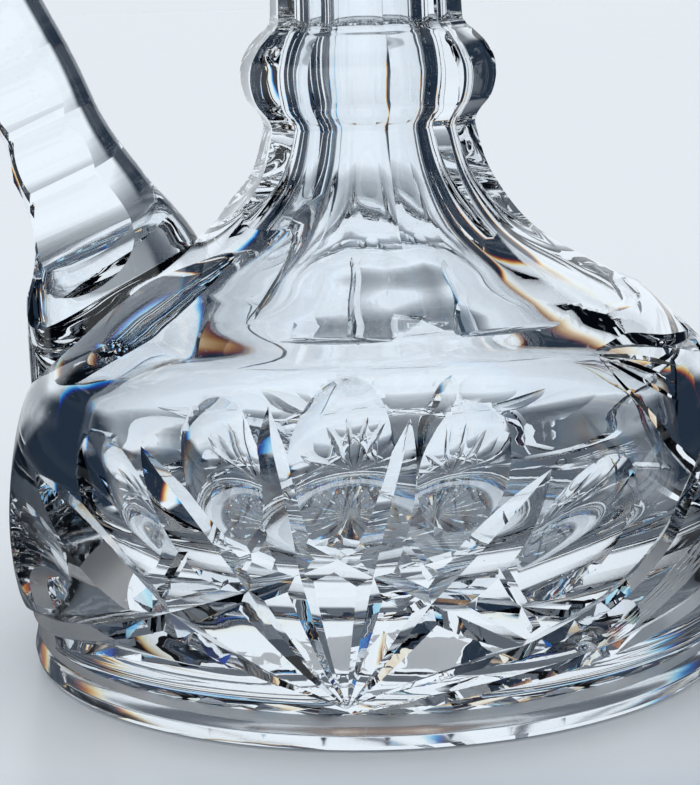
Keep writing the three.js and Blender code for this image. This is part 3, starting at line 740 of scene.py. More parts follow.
@dataclass
class LoopHandle:
    """Round bar that loops from the shoulder to the neck, with rows of thumb cuts."""

    stations: tuple[tuple[float, float, float, float], ...] = (
        (-31.0, 36.0, 28.0, 23.0), (-33.2, 49.0, 24.0, 18.0), (-36.4, 58.0, 17.6, 13.8),
        (-39.8, 66.0, 14.0, 12.8), (-43.3, 75.0, 13.2, 12.4), (-47.6, 84.0, 13.0, 12.4),
        (-51.3, 94.0, 12.5, 12.2), (-50.5, 104.0, 12.2, 12.0), (-42.0, 110.0, 11.8, 11.6),
        (-30.0, 109.0, 11.2, 11.2), (-18.5, 103.5, 11.0, 11.0), (-9.0, 98.0, 11.0, 11.0))
    sides: int = 96
    steps_between: int = 12
    cut_pitch: float = 9.2
    wheel_radius: float = 14.0
    wheel_reach: float = 4.0
    wheel_sides: int = 96
    cut_start: float = 0.15
    cut_end: float = 0.93
    rows: tuple[tuple[float, float, float], ...] = (
        (8.0, 0.0, 1.9), (172.0, 0.0, 1.9), (90.0, 0.5, 1.3))

    def __post_init__(self) -> None:
        """Runs the bar's centre line and its sizes through the stations."""
        self.line = curve_through(np.array(self.stations), self.steps_between)
        self.run = np.gradient(self.line[:, :2], axis=0)
        self.run /= np.linalg.norm(self.run, axis=1)[:, None]
        self.length = np.linalg.norm(np.diff(self.line[:, :2], axis=0), axis=1).sum()

    def bar(self) -> bpy.types.Object:
        """Builds the bar before its cuts.

        Returns:
            The bar as a solid.
        """
        turn = np.linspace(0, 2 * math.pi, self.sides, endpoint=False)
        rings = []
        for (x, z, thickness, width), (run_x, run_z) in zip(self.line, self.run):
            out = np.array((-run_z, 0, run_x))
            rings.append(
                np.array((x, 0, z)) + np.outer(np.cos(turn) * thickness / 2, out)
                + np.outer(np.sin(turn) * width / 2, (0, 1, 0)))
        return BARS.loft("bar", np.array(rings))

    def thumb_cuts(self) -> bpy.types.Object:
        """Builds the rows of shallow cuts.

        Returns:
            The cuts as one solid.
        """
        share = self.cut_end - self.cut_start
        count = round(self.length * share / self.cut_pitch)
        steps = np.arange(len(self.line))
        tools = []
        for tilt, stagger, depth in self.rows:
            for cut in range(count):
                step = (self.cut_start + share * (cut + 0.5 + stagger) / count) * steps[-1]
                x, z, thickness, width = (np.interp(step, steps, row) for row in self.line.T)
                run_x, run_z = (np.interp(step, steps, row) for row in self.run.T)
                run = Vector((run_x, 0, run_z)).normalized()
                out = Vector((-run_z, 0, run_x)).normalized()
                angle = math.radians(tilt)
                face = (out * math.sin(angle) + Vector((0, -1, 0)) * math.cos(angle)).normalized()
                half = math.hypot(thickness / 2 * math.sin(angle), width / 2 * math.cos(angle))
                centre = Vector((x, 0, z)) + face * (half + self.wheel_radius - depth)
                tools.append(self.drum(centre, run, face, self.wheel_reach * half))
        return together(tools)

    def drum(self, centre: Vector, run: Vector, face: Vector, length: float) -> bpy.types.Object:
        """Builds a wheel that lies across the bar.

        Args:
            centre: the wheel's middle in millimetres.
            run: the bar's direction there.
            face: the direction from the bar to the wheel.
            length: how wide the wheel is.

        Returns:
            The wheel, with its place in its mesh.
        """
        clear_bench()
        bpy.ops.mesh.primitive_cylinder_add(
            vertices=self.wheel_sides, radius=self.wheel_radius * MM, depth=length * MM)
        piece = bpy.context.object
        turn = Matrix([tuple(run), tuple(face), tuple(run.cross(face))]).transposed().to_4x4()
        piece.data.transform(Matrix.Translation(centre * MM) @ turn)
        face_outwards(piece)
        return piece


# Finishes


class Nodes:
    """Adds nodes to one tree and links them in the order that they are made in."""

    def __init__(self, tree: bpy.types.NodeTree) -> None:
        """Takes the tree and empties it."""
        self.tree = tree
        tree.nodes.clear()

    def add(self, kind: str, values: dict | None = None, **settings: object) -> bpy.types.Node:
        """Adds a node.

        Args:
            kind: the node's type.
            values: what each input gets, by its name or number: a value, or another socket.
            **settings: the node's own settings.

        Returns:
            The node.
        """
        node = self.tree.nodes.new(kind)
        for name, setting in settings.items():
            setattr(node, name, setting)
        for name, value in (values or {}).items():
            if isinstance(value, bpy.types.NodeSocket):
                self.tree.links.new(value, node.inputs[name])
            else:
                node.inputs[name].default_value = value
        return node

    def math(self, operation: str, *terms: float | bpy.types.NodeSocket,
             clamp: bool = False) -> bpy.types.NodeSocket:
        """Adds a sum.

        Args:
            operation: what is worked out.
            *terms: the numbers or sockets that it is worked out from.
            clamp: whether the result is held between 0 and 1.

        Returns:
            The result.
        """
        node = self.add(
            "ShaderNodeMath", dict(enumerate(terms)), operation=operation, use_clamp=clamp)
        return node.outputs[0]

    def ramp(self, value: bpy.types.NodeSocket, span: Place, target: Place = (0.0, 1.0),
             soft: bool = True) -> bpy.types.NodeSocket:
        """Maps a span of values onto another, held at both ends.

        Args:
            value: what is mapped.
            span: the values that give the target's first and second number.
            target: what comes out at both ends.
            soft: whether it eases in and out.

        Returns:
            The mapped value.
        """
        node = self.add("ShaderNodeMapRange", {
            "Value": value, "From Min": span[0], "From Max": span[1], "To Min": target[0],
            "To Max": target[1]}, interpolation_type="SMOOTHSTEP" if soft else "LINEAR")
        return node.outputs[0]

    def noise(self, place: bpy.types.NodeSocket, scale: float,
              detail: float = 0.0) -> bpy.types.NodeSocket:
        """Adds a cloudy pattern.

        Args:
            place: where it is read.
            scale: how many of its waves fit into a metre.
            detail: how many finer layers it has.

        Returns:
            The pattern, about 0.5 on average.
        """
        node = self.add("ShaderNodeTexNoise", {"Vector": place, "Scale": scale, "Detail": detail})
        return node.outputs[0]

    def stretch(self, place: bpy.types.NodeSocket, scale: tuple[float, float, float],
                turn: tuple[float, float, float] = (0.0, 0.0, 0.0)) -> bpy.types.NodeSocket:
        """Turns and stretches the places that a pattern is read at.

        Args:
            place: the places.
            scale: how much shorter the pattern gets along each axis.
            turn: radians about each axis.

        Returns:
            The new places.
        """
        node = self.add("ShaderNodeMapping", {"Vector": place, "Rotation": turn, "Scale": scale})
        return node.outputs[0]

    def blend(self, share: bpy.types.NodeSocket, first: tuple[float, float, float],
              second: tuple[float, float, float]) -> bpy.types.NodeSocket:
        """Mixes two colours.

        Args:
            share: how much of the second.
            first: the colour at 0.
            second: the colour at 1.

        Returns:
            The mixed colour.
        """
        node = self.add(
            "ShaderNodeMix", {"Factor": share, 6: (*first, 1), 7: (*second, 1)}, data_type="RGBA")
        return node.outputs[2]


class Socket(Enum):
    """What a group's socket carries."""

    NUMBER = "NodeSocketFloat"
    PLACE = "NodeSocketVector"


def new_group(name: str, inputs: dict[str, Socket], outputs: dict[str, Socket]) -> Nodes:
    """Makes an empty node group with named sockets.

    Args:
        name: the group's name.
        inputs: what each input carries.
        outputs: what each output carries.

    Returns:
        The group's tree, ready for its nodes.
    """
    tree = bpy.data.node_groups.new(name, "ShaderNodeTree")
    for label, kind in inputs.items():
        tree.interface.new_socket(label, in_out="INPUT", socket_type=kind.value)
    for label, kind in outputs.items():
        tree.interface.new_socket(label, in_out="OUTPUT", socket_type=kind.value)
    return Nodes(tree)


class Effect(Enum):
    """Effects that are shared, by the name of their group."""

    GROUND_ZONE = "ground_zone"
    STRIAE = "striae"
    WHEEL_MARKS = "wheel_marks"
    SCRATCHES = "fine_scratches"
    DUST = "dust"
    WINDOW_LIGHT = "window_light"


@dataclass
class Effects:
    """Shared effects as node groups, each made when it is first asked for.

    Scales are waves per metre. A pair of gain and offset turns a cloudy pattern into a mask.
    """

    zone_gain: float = 8000.0
    wave_scales: tuple[float, float] = (60.0, 240.0)
    quick_waves: float = 0.12
    wave_stretch: tuple[float, float, float] = (1.0, 1.0, 0.25)
    mark_scale: float = 2600.0
    mark_stretch: tuple[float, float, float] = (0.09, 0.09, 1.0)
    mark_turn: tuple[float, float, float] = (0.25, 0.15, 0.0)
    mark_mask: Place = (5.0, -3.1)
    hair_turns: tuple[float, ...] = (0.4, 1.3, 2.5)
    hair_stretch: tuple[float, float, float] = (1.0, 0.03, 1.0)
    hair_scale: float = 1500.0
    hair_mask: Place = (14.0, -10.6)
    patch_scale: float = 90.0
    patch_mask: Place = (3.0, -1.1)
    speck_scale: float = 520.0
    speck_mask: Place = (1.1, -0.98)
    speck_gain: float = 30.0
    upwards_mask: Place = (3.0, -0.6)
    made: dict[Effect, bpy.types.NodeTree] = field(default_factory=dict)

    def place(self, nodes: Nodes, effect: Effect, values: dict) -> bpy.types.NodeOutputs:
        """Puts an effect into a material.

        Args:
            nodes: the material's nodes.
            effect: which effect.
            values: what each of the group's inputs gets.

        Returns:
            The group's outputs.
        """
        if effect not in self.made:
            self.made[effect] = getattr(self, effect.value)().tree
        return nodes.add("ShaderNodeGroup", values, node_tree=self.made[effect]).outputs

    def ground_zone(self) -> Nodes:
        """Satin left by the grinder between two heights and two radii about Z.

        Returns:
            The group.
        """
        nodes = new_group("ground_zone", {
            "Place": Socket.PLACE, "Low": Socket.NUMBER, "High": Socket.NUMBER,
            "Inner": Socket.NUMBER, "Outer": Socket.NUMBER}, {"Mask": Socket.NUMBER})
        given = nodes.add("NodeGroupInput").outputs
        axes = nodes.add("ShaderNodeSeparateXYZ", {0: given["Place"]}).outputs
        away = nodes.math("SQRT", nodes.math(
            "ADD", nodes.math("POWER", axes["X"], 2.0), nodes.math("POWER", axes["Y"], 2.0)))
        mask = 1.0
        for value, low, high in (
                (axes["Z"], given["Low"], given["High"]), (away, given["Inner"], given["Outer"])):
            for gap in (nodes.math("SUBTRACT", value, low), nodes.math("SUBTRACT", high, value)):
                inside = nodes.math("MULTIPLY_ADD", gap, self.zone_gain, 0.5, clamp=True)
                mask = nodes.math("MULTIPLY", inside, mask)
        nodes.add("NodeGroupOutput", {"Mask": mask})
        return nodes

    def striae(self) -> Nodes:
        """Slow waves that hot glass keeps.

        Returns:
            The group.
        """
        nodes = new_group(
            "striae", {"Place": Socket.PLACE, "Depth": Socket.NUMBER}, {"Height": Socket.NUMBER})
        given = nodes.add("NodeGroupInput").outputs
        slow = nodes.noise(given["Place"], self.wave_scales[0], 1.0)
        quick = nodes.noise(nodes.stretch(given["Place"], self.wave_stretch), self.wave_scales[1])
        both = nodes.math("MULTIPLY_ADD", quick, self.quick_waves, slow)
        nodes.add("NodeGroupOutput", {"Height": nodes.math("MULTIPLY", both, given["Depth"])})
        return nodes

    def wheel_marks(self) -> Nodes:
        """Fine lines that the wheel leaves along its turns in the cuts.

        Returns:
            The group.
        """
        nodes = new_group(
            "wheel_marks", {"Place": Socket.PLACE, "Mask": Socket.NUMBER, "Depth": Socket.NUMBER},
            {"Height": Socket.NUMBER, "Haze": Socket.NUMBER})
        given = nodes.add("NodeGroupInput").outputs
        drawn = nodes.stretch(given["Place"], self.mark_stretch, self.mark_turn)
        lines = nodes.noise(drawn, self.mark_scale, 1.0)
        in_cut = nodes.math("MULTIPLY", lines, given["Mask"])
        height = nodes.math("MULTIPLY", in_cut, given["Depth"])
        haze = nodes.math("MULTIPLY", nodes.math(
            "MULTIPLY_ADD", lines, *self.mark_mask, clamp=True), given["Mask"])
        nodes.add("NodeGroupOutput", {"Height": height, "Haze": haze})
        return nodes

    def fine_scratches(self) -> Nodes:
        """Hair-fine scratches of use, in patches, lying three ways.

        Returns:
            The group.
        """
        nodes = new_group(
            "fine_scratches", {"Place": Socket.PLACE, "Amount": Socket.NUMBER},
            {"Mask": Socket.NUMBER})
        given = nodes.add("NodeGroupInput").outputs
        found = 0.0
        for turn in self.hair_turns:
            drawn = nodes.stretch(given["Place"], self.hair_stretch, (turn, turn / 2, turn))
            hairs = nodes.noise(drawn, self.hair_scale)
            found = nodes.math(
                "MAXIMUM", nodes.math("MULTIPLY_ADD", hairs, *self.hair_mask, clamp=True), found)
        patches = nodes.noise(given["Place"], self.patch_scale, 1.0)
        worn = nodes.math("MULTIPLY_ADD", patches, *self.patch_mask, clamp=True)
        mask = nodes.math("MULTIPLY", nodes.math("MULTIPLY", found, worn), given["Amount"])
        nodes.add("NodeGroupOutput", {"Mask": mask})
        return nodes

    def dust(self) -> Nodes:
        """Sparse specks on what faces upwards.

        Returns:
            The group.
        """
        nodes = new_group(
            "dust", {"Place": Socket.PLACE, "Amount": Socket.NUMBER}, {"Mask": Socket.NUMBER})
        given = nodes.add("NodeGroupInput").outputs
        cells = nodes.add("ShaderNodeTexVoronoi", {
            "Vector": given["Place"], "Scale": self.speck_scale}).outputs
        chance = nodes.add("ShaderNodeSeparateColor", {0: cells["Color"]}).outputs[0]
        size = nodes.math("MULTIPLY_ADD", chance, *self.speck_mask, clamp=True)
        inside = nodes.math("SUBTRACT", size, cells["Distance"])
        speck = nodes.math("MULTIPLY", inside, self.speck_gain, clamp=True)
        facing = nodes.add(
            "ShaderNodeSeparateXYZ", {0: nodes.add("ShaderNodeNewGeometry").outputs["Normal"]})
        upwards = nodes.math(
            "MULTIPLY_ADD", facing.outputs["Z"], *self.upwards_mask, clamp=True)
        mask = nodes.math("MULTIPLY", nodes.math("MULTIPLY", speck, upwards), given["Amount"])
        nodes.add("NodeGroupOutput", {"Mask": mask})
        return nodes

    def window_light(self) -> Nodes:
        """Light of the surroundings in a direction: windows, the gaps between them, the ceiling.

        Returns:
            The group.
        """
        nodes = new_group(
            "window_light", {"Way": Socket.PLACE, "Shift": Socket.NUMBER},
            {"Light": Socket.NUMBER})
        room = Surroundings()
        given = nodes.add("NodeGroupInput").outputs
        axes = nodes.add("ShaderNodeSeparateXYZ", {0: given["Way"]}).outputs
        turn = nodes.math("ADD", nodes.math("ARCTAN2", axes["X"], axes["Y"]), given["Shift"])
        side = nodes.math("ABSOLUTE", turn)
        up = nodes.math("ADD", axes["Z"], given["Shift"])
        light = 1.0
        for middle, reach in room.gaps:
            off = nodes.math("ABSOLUTE", nodes.math("SUBTRACT", side, math.radians(middle)))
            edge = nodes.ramp(off, (
                math.radians(reach - room.softness), math.radians(reach + room.softness)))
            light = nodes.math("MULTIPLY", edge, light)
        wall = nodes.ramp(up, room.wall_top, (1.0, 0.0))
        ceiling = nodes.ramp(up, room.ceiling, (0.0, room.ceiling_light))
        light = nodes.math("MULTIPLY", light, wall)
        nodes.add("NodeGroupOutput", {"Light": nodes.math("ADD", light, ceiling)})
        return nodes


EFFECTS = Effects()


@dataclass(frozen=True)
class GroundZone:
    """Where a grinder left satin, in millimetres of height and of distance from the axis."""

    low: float
    high: float
    inner: float
    outer: float
    roughness: float = 0.4


@dataclass(frozen=True)
class GlassFinish:
    """Clear bluish lead glass with ground zones, wheel marks, striae, scratches and dust."""

    name: str
    zones: tuple[GroundZone, ...] = ()
    ior: float = 1.54
    tint: tuple[float, float, float] = (0.955, 0.98, 1.0)
    striae_depth: float = 0.05
    mark_depth: float = 0.0012
    mark_haze: float = 0.05
    scratch_haze: float = 0.16
    scratch_tone: float = 0.12
    dust_haze: float = 0.5
    dust_tone: float = 0.4
    soil: tuple[float, float, float] = (0.25, 0.27, 0.3)
    cut_gain: float = 4.0

    def material(self) -> bpy.types.Material:
        """Makes the material.

        Returns:
            The material.
        """
        material = bpy.data.materials.new(self.name)
        material.use_nodes = True
        nodes = Nodes(material.node_tree)
        place = nodes.add("ShaderNodeTexCoord").outputs["Object"]
        cut = nodes.add("ShaderNodeAttribute", attribute_name=CUT_DEPTH).outputs["Fac"]
        in_cut = nodes.math("MULTIPLY", cut, self.cut_gain, clamp=True)
        marks = EFFECTS.place(nodes, Effect.WHEEL_MARKS, {
            "Place": place, "Mask": in_cut, "Depth": self.mark_depth * MM})
        waves = EFFECTS.place(
            nodes, Effect.STRIAE, {"Place": place, "Depth": self.striae_depth * MM})
        hairs = EFFECTS.place(nodes, Effect.SCRATCHES, {"Place": place, "Amount": 1.0})["Mask"]
        specks = EFFECTS.place(nodes, Effect.DUST, {"Place": place, "Amount": 1.0})["Mask"]
        rough = nodes.math("MULTIPLY", hairs, self.scratch_haze)
        rough = nodes.math("MAXIMUM", rough, nodes.math("MULTIPLY", specks, self.dust_haze))
        rough = nodes.math(
            "MAXIMUM", rough, nodes.math("MULTIPLY", marks["Haze"], self.mark_haze))
        for zone in self.zones:
            mask = EFFECTS.place(nodes, Effect.GROUND_ZONE, {
                "Place": place, "Low": zone.low * MM, "High": zone.high * MM,
                "Inner": zone.inner * MM, "Outer": zone.outer * MM})["Mask"]
            rough = nodes.math("MAXIMUM", rough, nodes.math("MULTIPLY", mask, zone.roughness))
        tone = nodes.math("MULTIPLY", hairs, self.scratch_tone)
        tone = nodes.math("MAXIMUM", tone, nodes.math("MULTIPLY", specks, self.dust_tone))
        colour = nodes.blend(tone, self.tint, self.soil)
        height = nodes.math("ADD", waves["Height"], marks["Height"])
        bump = nodes.add("ShaderNodeBump", {"Height": height, "Distance": 1.0})
        glass = nodes.add("ShaderNodeBsdfPrincipled", {
            "Base Color": colour, "Roughness": rough, "IOR": self.ior,
            "Metallic": 0.0, "Transmission Weight": 1.0, "Normal": bump.outputs[0]})
        nodes.add("ShaderNodeOutputMaterial", {"Surface": glass.outputs[0]})
        return material


@dataclass
class Vessel:
    """The cruet's glass: blank, handle, hollow and cuts, fused into one piece."""

    blank: Blank = field(default_factory=Blank)
    handle: LoopHandle = field(default_factory=LoopHandle)
    star: StarBase = field(default_factory=StarBase)
    underside: Place = (-0.5, 0.12)
    worn_radius: float = 35.0
    ring_satin: float = 0.4
    ring_worn: float = 0.06
    ring_clear: float = 0.6
    edge_clear: float = 0.2
    smooth_angle: float = 26.0
    deepest_cut: float = 4.0

    def build(self) -> bpy.types.Object:
        """Builds the piece and dresses it.

        Returns:
            The finished piece.
        """
        piece = self.blank.outside()
        LOG.info("blank: %d faces", len(piece.data.polygons))
        combine(piece, WheelCuts(self.blank).all_cuts(), Join.CUT)
        combine(piece, self.star.cuts(), Join.CUT)
        LOG.info("cut: %d faces", len(piece.data.polygons))
        bar = combine(self.handle.bar(), self.handle.thumb_cuts(), Join.CUT)
        combine(piece, bar, Join.ADD)
        combine(piece, self.blank.inside(), Join.CUT)
        self.blank.draw_spout(piece)
        finish_surface(piece, self.smooth_angle)
        self.dress(piece)
        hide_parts("body", "handle")
        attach(piece, "cruet")
        LOG.info("vessel: %d faces", len(piece.data.polygons))
        return piece

    def dress(self, piece: bpy.types.Object) -> None:
        """Marks how deep the cuts go, and gives the piece its glass.

        Args:
            piece: the vessel in its final shape.
        """
        blank = self.blank
        rows = corners(piece) / MM
        uncut = np.interp(rows[:, 2], blank.belly_curve[:, 1], blank.belly_curve[:, 0])
        depth = uncut - np.hypot(rows[:, 0], rows[:, 1])
        on_belly = (rows[:, 2] > blank.belly[0][1]) & (rows[:, 2] < blank.panels[0][1])
        depth = np.where(on_belly & (depth > 0) & (depth < self.deepest_cut), depth, 0)
        piece.data.attributes.new(CUT_DEPTH, "FLOAT", "POINT").data.foreach_set("value", depth)
        socket_top = blank.rim - blank.mouth_depth
        zones = (
            GroundZone(*self.underside, self.star.radius + self.ring_clear, self.worn_radius,
                       self.ring_satin),
            GroundZone(*self.underside, self.worn_radius,
                       blank.foot_flat_radius + self.edge_clear, self.ring_worn),
            GroundZone(socket_top - blank.socket_length + blank.socket_lead, socket_top,
                       0.0, blank.socket_top_radius + self.edge_clear))
        piece.data.materials.clear()
        piece.data.materials.append(GlassFinish("clear_glass", zones).material())


@dataclass
class Stopper:
    """Ground plug on a faceted head."""

    blank: Blank
    seat_gap: float = 0.3
    plug_end_gap: float = 1.0
    plug_chamfer: float = 0.6
    plug_shoulder: float = 2.0
    stem_sink: float = 1.0
    neck_radius: float = 4.7
    neck_rise: float = 5.0
    head: tuple[Place, ...] = ((10.4, 4.6), (13.6, 6.4), (11.2, 7.6), (6.0, 5.6))
    cross_ratio: float = 1.012
    facets: int = 10
    round_steps: int = 96
    smooth_angle: float = 15.0
    edge_clear: float = 0.2

    def stem(self) -> bpy.types.Object:
        """Builds the plug and its neck.

        Returns:
            Both as one solid.
        """
        blank = self.blank
        top = blank.rim - blank.mouth_depth
        bottom = top - blank.socket_length + blank.socket_lead + self.plug_end_gap
        neck_top = blank.rim + self.neck_rise
        taper = (blank.socket_top_radius - blank.socket_bottom_radius) / (
            blank.socket_length - blank.socket_lead)
        plug_radius = blank.socket_bottom_radius + taper * self.plug_end_gap - self.seat_gap
        return spin_solid("stopper_glass", [
            (0.0, bottom), (plug_radius - self.plug_chamfer, bottom),
            (plug_radius, bottom + self.plug_chamfer),
            (blank.socket_top_radius - self.seat_gap, top),
            (self.neck_radius, top + self.plug_shoulder),
            (self.neck_radius, neck_top + self.stem_sink),
            (0.0, neck_top + self.stem_sink)], self.round_steps)

    def faceted(self, ratio: float, turn: float) -> bpy.types.Object:
        """Builds one of the two sets of facets that cross on the head.

        Args:
            ratio: how much wider than the sizes this set is.
            turn: degrees about the axis.

        Returns:
            The ten-sided solid.
        """
        height = self.blank.rim + self.neck_rise
        rows = [(self.neck_radius / math.cos(math.pi / self.facets), height)]
        for radius, rise in self.head:
            height += rise
            rows.append((radius, height))
        angles = np.linspace(0, 2 * math.pi, self.facets, endpoint=False) + math.radians(turn)
        rings = [
            [(radius * ratio * math.sin(angle), -radius * ratio * math.cos(angle), level)
             for angle in angles] for radius, level in rows]
        return BARS.loft("facets", np.array(rings))

    def build(self) -> bpy.types.Object:
        """Builds the piece and dresses it.

        Returns:
            The finished piece.
        """
        head = combine(
            self.faceted(1.0, 0), self.faceted(self.cross_ratio, 180 / self.facets), Join.KEEP)
        piece = combine(self.stem(), head, Join.ADD)
        finish_surface(piece, self.smooth_angle)
        piece.data.attributes.new(CUT_DEPTH, "FLOAT", "POINT")
        top = self.blank.rim - self.blank.mouth_depth
        plug = GroundZone(
            top - self.blank.socket_length, top, 0.0,
            self.blank.socket_top_radius + self.edge_clear)
        piece.data.materials.clear()
        piece.data.materials.append(GlassFinish("stopper_clear", (plug,)).material())
        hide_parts("stopper")
        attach(piece, "stopper")
        LOG.info("stopper: %d faces", len(piece.data.polygons))
        return piece


@dataclass(frozen=True)
class Surroundings:
    """What the glass sees: pale windows round the table, with dark gaps between them.

    Gaps are degrees to either side of the back, as middle and half width. The tops of wall and
    ceiling are sines of elevation. The fringe is how many degrees the windows' edges are shifted
    for red and for blue.
    """

    gaps: tuple[tuple[float, float], ...] = ((60.0, 24.0), (118.0, 22.0))
    softness: float = 3.0
    shade: tuple[float, float, float] = (0.018, 0.03, 0.05)
    wall_top: tuple[float, float] = (0.42, 0.6)
    ceiling: tuple[float, float] = (0.82, 0.92)
    ceiling_light: float = 0.9
    fringe: float = 1.5
    colour: tuple[float, float, float] = (0.88, 0.94, 1.0)
    backdrop: tuple[float, float, float] = (0.78, 0.83, 0.88)


@dataclass(frozen=True)
class PaleTableAndPaintedGlow:
    """Pale smooth table, darker at the front, with soft streaks.

    For the eye it is a surface with the object's shadow on it. Glass sees a painted glow instead:
    the table gives off a plain colour, with painted shade where the gaps of the surroundings fall,
    a painted shadow round the foot and a painted pool of light in a ring under it. Sizes are
    metres here, as in its nodes.
    """

    far_colour: tuple[float, float, float] = (0.75, 0.80, 0.855)
    near_colour: tuple[float, float, float] = (0.50, 0.60, 0.72)
    fade: tuple[float, float] = (-0.074, -0.044)
    streak: float = 0.025
    streak_turn: float = 0.5
    streak_stretch: tuple[float, float, float] = (1.0, 0.12, 1.0)
    streak_scale: float = 28.0
    streak_detail: float = 3.0
    streak_roughness: float = 0.04
    roughness: float = 0.25
    gloss: float = 0.15
    ior: float = 1.45
    # Painted shade: beyond this span of distance from the axis, the gaps of the surroundings darken
    # the glow.
    painted_gaps_from: tuple[float, float] = (0.07, 0.12)
    # Painted light: a bright ring in the glow under the foot's ring, given as radius and half width.
    painted_light_ring: tuple[float, float] = (0.0370, 0.0095)
    painted_ring_level: float = 1.0
    painted_ring_blur: float = 0.002
    # Painted shadow: the glow falls to a low level towards the foot, over this span of distance from
    # the axis.
    painted_shadow_zone: tuple[float, float] = (0.09, 0.26)
    painted_shadow_level: float = 0.12

    def material(self) -> bpy.types.Material:
        """Makes the material.

        Returns:
            The material.
        """
        room = Surroundings()
        material = bpy.data.materials.new("table_with_painted_glow")
        material.use_nodes = True
        nodes = Nodes(material.node_tree)
        place = nodes.add("ShaderNodeTexCoord").outputs["Object"]
        axes = nodes.add("ShaderNodeSeparateXYZ", {0: place}).outputs
        share = nodes.ramp(axes["Y"], self.fade)
        drawn = nodes.stretch(place, self.streak_stretch, (0.0, 0.0, self.streak_turn))
        streaks = nodes.noise(drawn, self.streak_scale, self.streak_detail)
        unevenness = nodes.math("MULTIPLY_ADD", streaks, self.streak * 2, -self.streak)
        share = nodes.math("ADD", share, unevenness, clamp=True)
        tone = nodes.blend(share, self.near_colour, self.far_colour)
        rough = nodes.math(
            "MULTIPLY_ADD", streaks, self.streak_roughness,
            self.roughness - self.streak_roughness / 2)
        surface = nodes.add("ShaderNodeBsdfPrincipled", {
            "Base Color": tone, "Roughness": rough, "IOR": self.ior,
            "Specular IOR Level": self.gloss}).outputs[0]
        # Painted light and shade: the surroundings' light is read at each place on the table, so the
        # glow is darker where their gaps fall.
        light = EFFECTS.place(nodes, Effect.WINDOW_LIGHT, {"Way": place, "Shift": 0.0})["Light"]
        away = nodes.add("ShaderNodeVectorMath", {0: place}, operation="LENGTH").outputs["Value"]
        beyond = nodes.ramp(away, self.painted_gaps_from)
        light = nodes.math("MULTIPLY_ADD", nodes.math("SUBTRACT", light, 1.0), beyond, 1.0)
        # Painted pool of light under the foot's ring.
        ring, reach = self.painted_light_ring
        off_ring = nodes.math("ABSOLUTE", nodes.math("SUBTRACT", away, ring))
        under = nodes.ramp(
            off_ring, (reach, reach - self.painted_ring_blur), (0.0, self.painted_ring_level), soft=False)
        # Painted shadow round the foot.
        out = nodes.ramp(away, self.painted_shadow_zone, (self.painted_shadow_level, 1.0), soft=False)
        light = nodes.math("MULTIPLY", light, nodes.math("MAXIMUM", under, out))
        colour = nodes.blend(light, room.shade, room.colour)
        # Painted glow: glossy and transmission rays see the table give off this colour instead of a
        # lit surface.
        painted_glow = nodes.add("ShaderNodeEmission", {"Color": colour})
        rays = nodes.add("ShaderNodeLightPath").outputs
        through = nodes.math("MAXIMUM", rays["Is Glossy Ray"], rays["Is Transmission Ray"])
        both = nodes.add("ShaderNodeMixShader", {0: through, 1: surface, 2: painted_glow.outputs[0]})
        nodes.add("ShaderNodeOutputMaterial", {"Surface": both.outputs[0]})
        return material


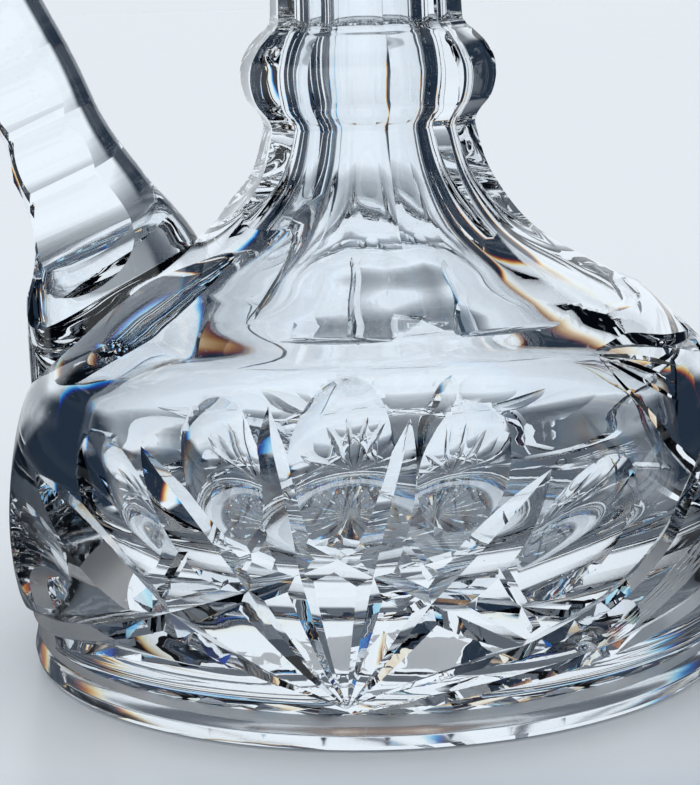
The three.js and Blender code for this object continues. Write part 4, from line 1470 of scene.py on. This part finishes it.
@dataclass
class Studio:
    """Pale table, soft light and the camera at the photo's place."""

    camera_place: tuple[float, float, float] = (0.0, -299.0, 94.8)
    camera_target: tuple[float, float, float] = (-3.48, 0.0, 32.7)
    camera_roll: float = -1.87
    frame_pixels: tuple[int, int] = (700, 785)
    focal_pixels: float = 2343.0
    sensor: float = 36.0
    nearest: float = 10.0
    table_size: float = 4000.0
    table_gap: float = 0.05

    def camera(self) -> None:
        """Places the camera where the photo's stood."""
        data = bpy.data.cameras.new("camera")
        camera = bpy.data.objects.new("camera", data)
        bpy.context.scene.collection.objects.link(camera)
        place, target = Vector(self.camera_place) * MM, Vector(self.camera_target) * MM
        turn = (target - place).to_track_quat("-Z", "Y").to_matrix().to_4x4()
        roll = Matrix.Rotation(math.radians(self.camera_roll), 4, "Z")
        camera.matrix_world = Matrix.Translation(place) @ turn @ roll
        data.sensor_width = self.sensor
        data.lens = self.focal_pixels * self.sensor / max(self.frame_pixels)
        data.clip_start = self.nearest * MM
        bpy.context.scene.camera = camera

    def table(self) -> None:
        """Makes the pale table."""
        clear_bench()
        bpy.ops.mesh.primitive_plane_add(
            size=self.table_size * MM, location=(0, 0, -self.table_gap * MM))
        table = bpy.context.object
        table.name = "table"
        table.data.materials.append(PaleTableAndPaintedGlow().material())

    def world(self) -> None:
        """Makes the surroundings: plain for the eye, windows and gaps for the glass."""
        room = Surroundings()
        world = bpy.data.worlds.new("studio")
        bpy.context.scene.world = world
        world.use_nodes = True
        nodes = Nodes(world.node_tree)
        way = nodes.add("ShaderNodeTexCoord").outputs["Generated"]
        rays = nodes.add("ShaderNodeLightPath").outputs
        fringe = nodes.math("MULTIPLY", rays["Is Transmission Ray"], math.radians(room.fringe))
        lights = [
            EFFECTS.place(nodes, Effect.WINDOW_LIGHT, {"Way": way, "Shift": shift})["Light"]
            for shift in (nodes.math("MULTIPLY", fringe, -1.0), 0.0, fringe)]
        windows = nodes.add("ShaderNodeMix", {
            1: nodes.add("ShaderNodeCombineXYZ", dict(enumerate(lights))).outputs[0],
            4: room.shade, 5: room.colour}, data_type="VECTOR",
            factor_mode="NON_UNIFORM").outputs[1]
        lit = nodes.add("ShaderNodeBackground", {"Color": windows})
        seen = nodes.add("ShaderNodeBackground", {"Color": (*room.backdrop, 1)})
        soft = nodes.add("ShaderNodeBackground", {"Color": (1.0, 1.0, 1.0, 1)})
        through = nodes.math("MAXIMUM", rays["Is Glossy Ray"], rays["Is Transmission Ray"])
        plain = nodes.add("ShaderNodeMixShader", {
            0: rays["Is Camera Ray"], 1: soft.outputs[0], 2: seen.outputs[0]})
        both = nodes.add("ShaderNodeMixShader", {
            0: through, 1: plain.outputs[0], 2: lit.outputs[0]})
        nodes.add("ShaderNodeOutputWorld", {"Surface": both.outputs[0]})

    def build(self) -> None:
        """Sets up table, surroundings and camera."""
        self.table()
        self.world()
        self.camera()
        bpy.context.scene.view_settings.view_transform = "Standard"


def main() -> None:
    """Builds each piece in order."""
    logging.basicConfig(level=logging.INFO, format="%(name)s %(message)s")
    vessel = Vessel()
    vessel.build()
    Stopper(vessel.blank).build()
    Studio().build()


if __name__ == "__main__":
    main()
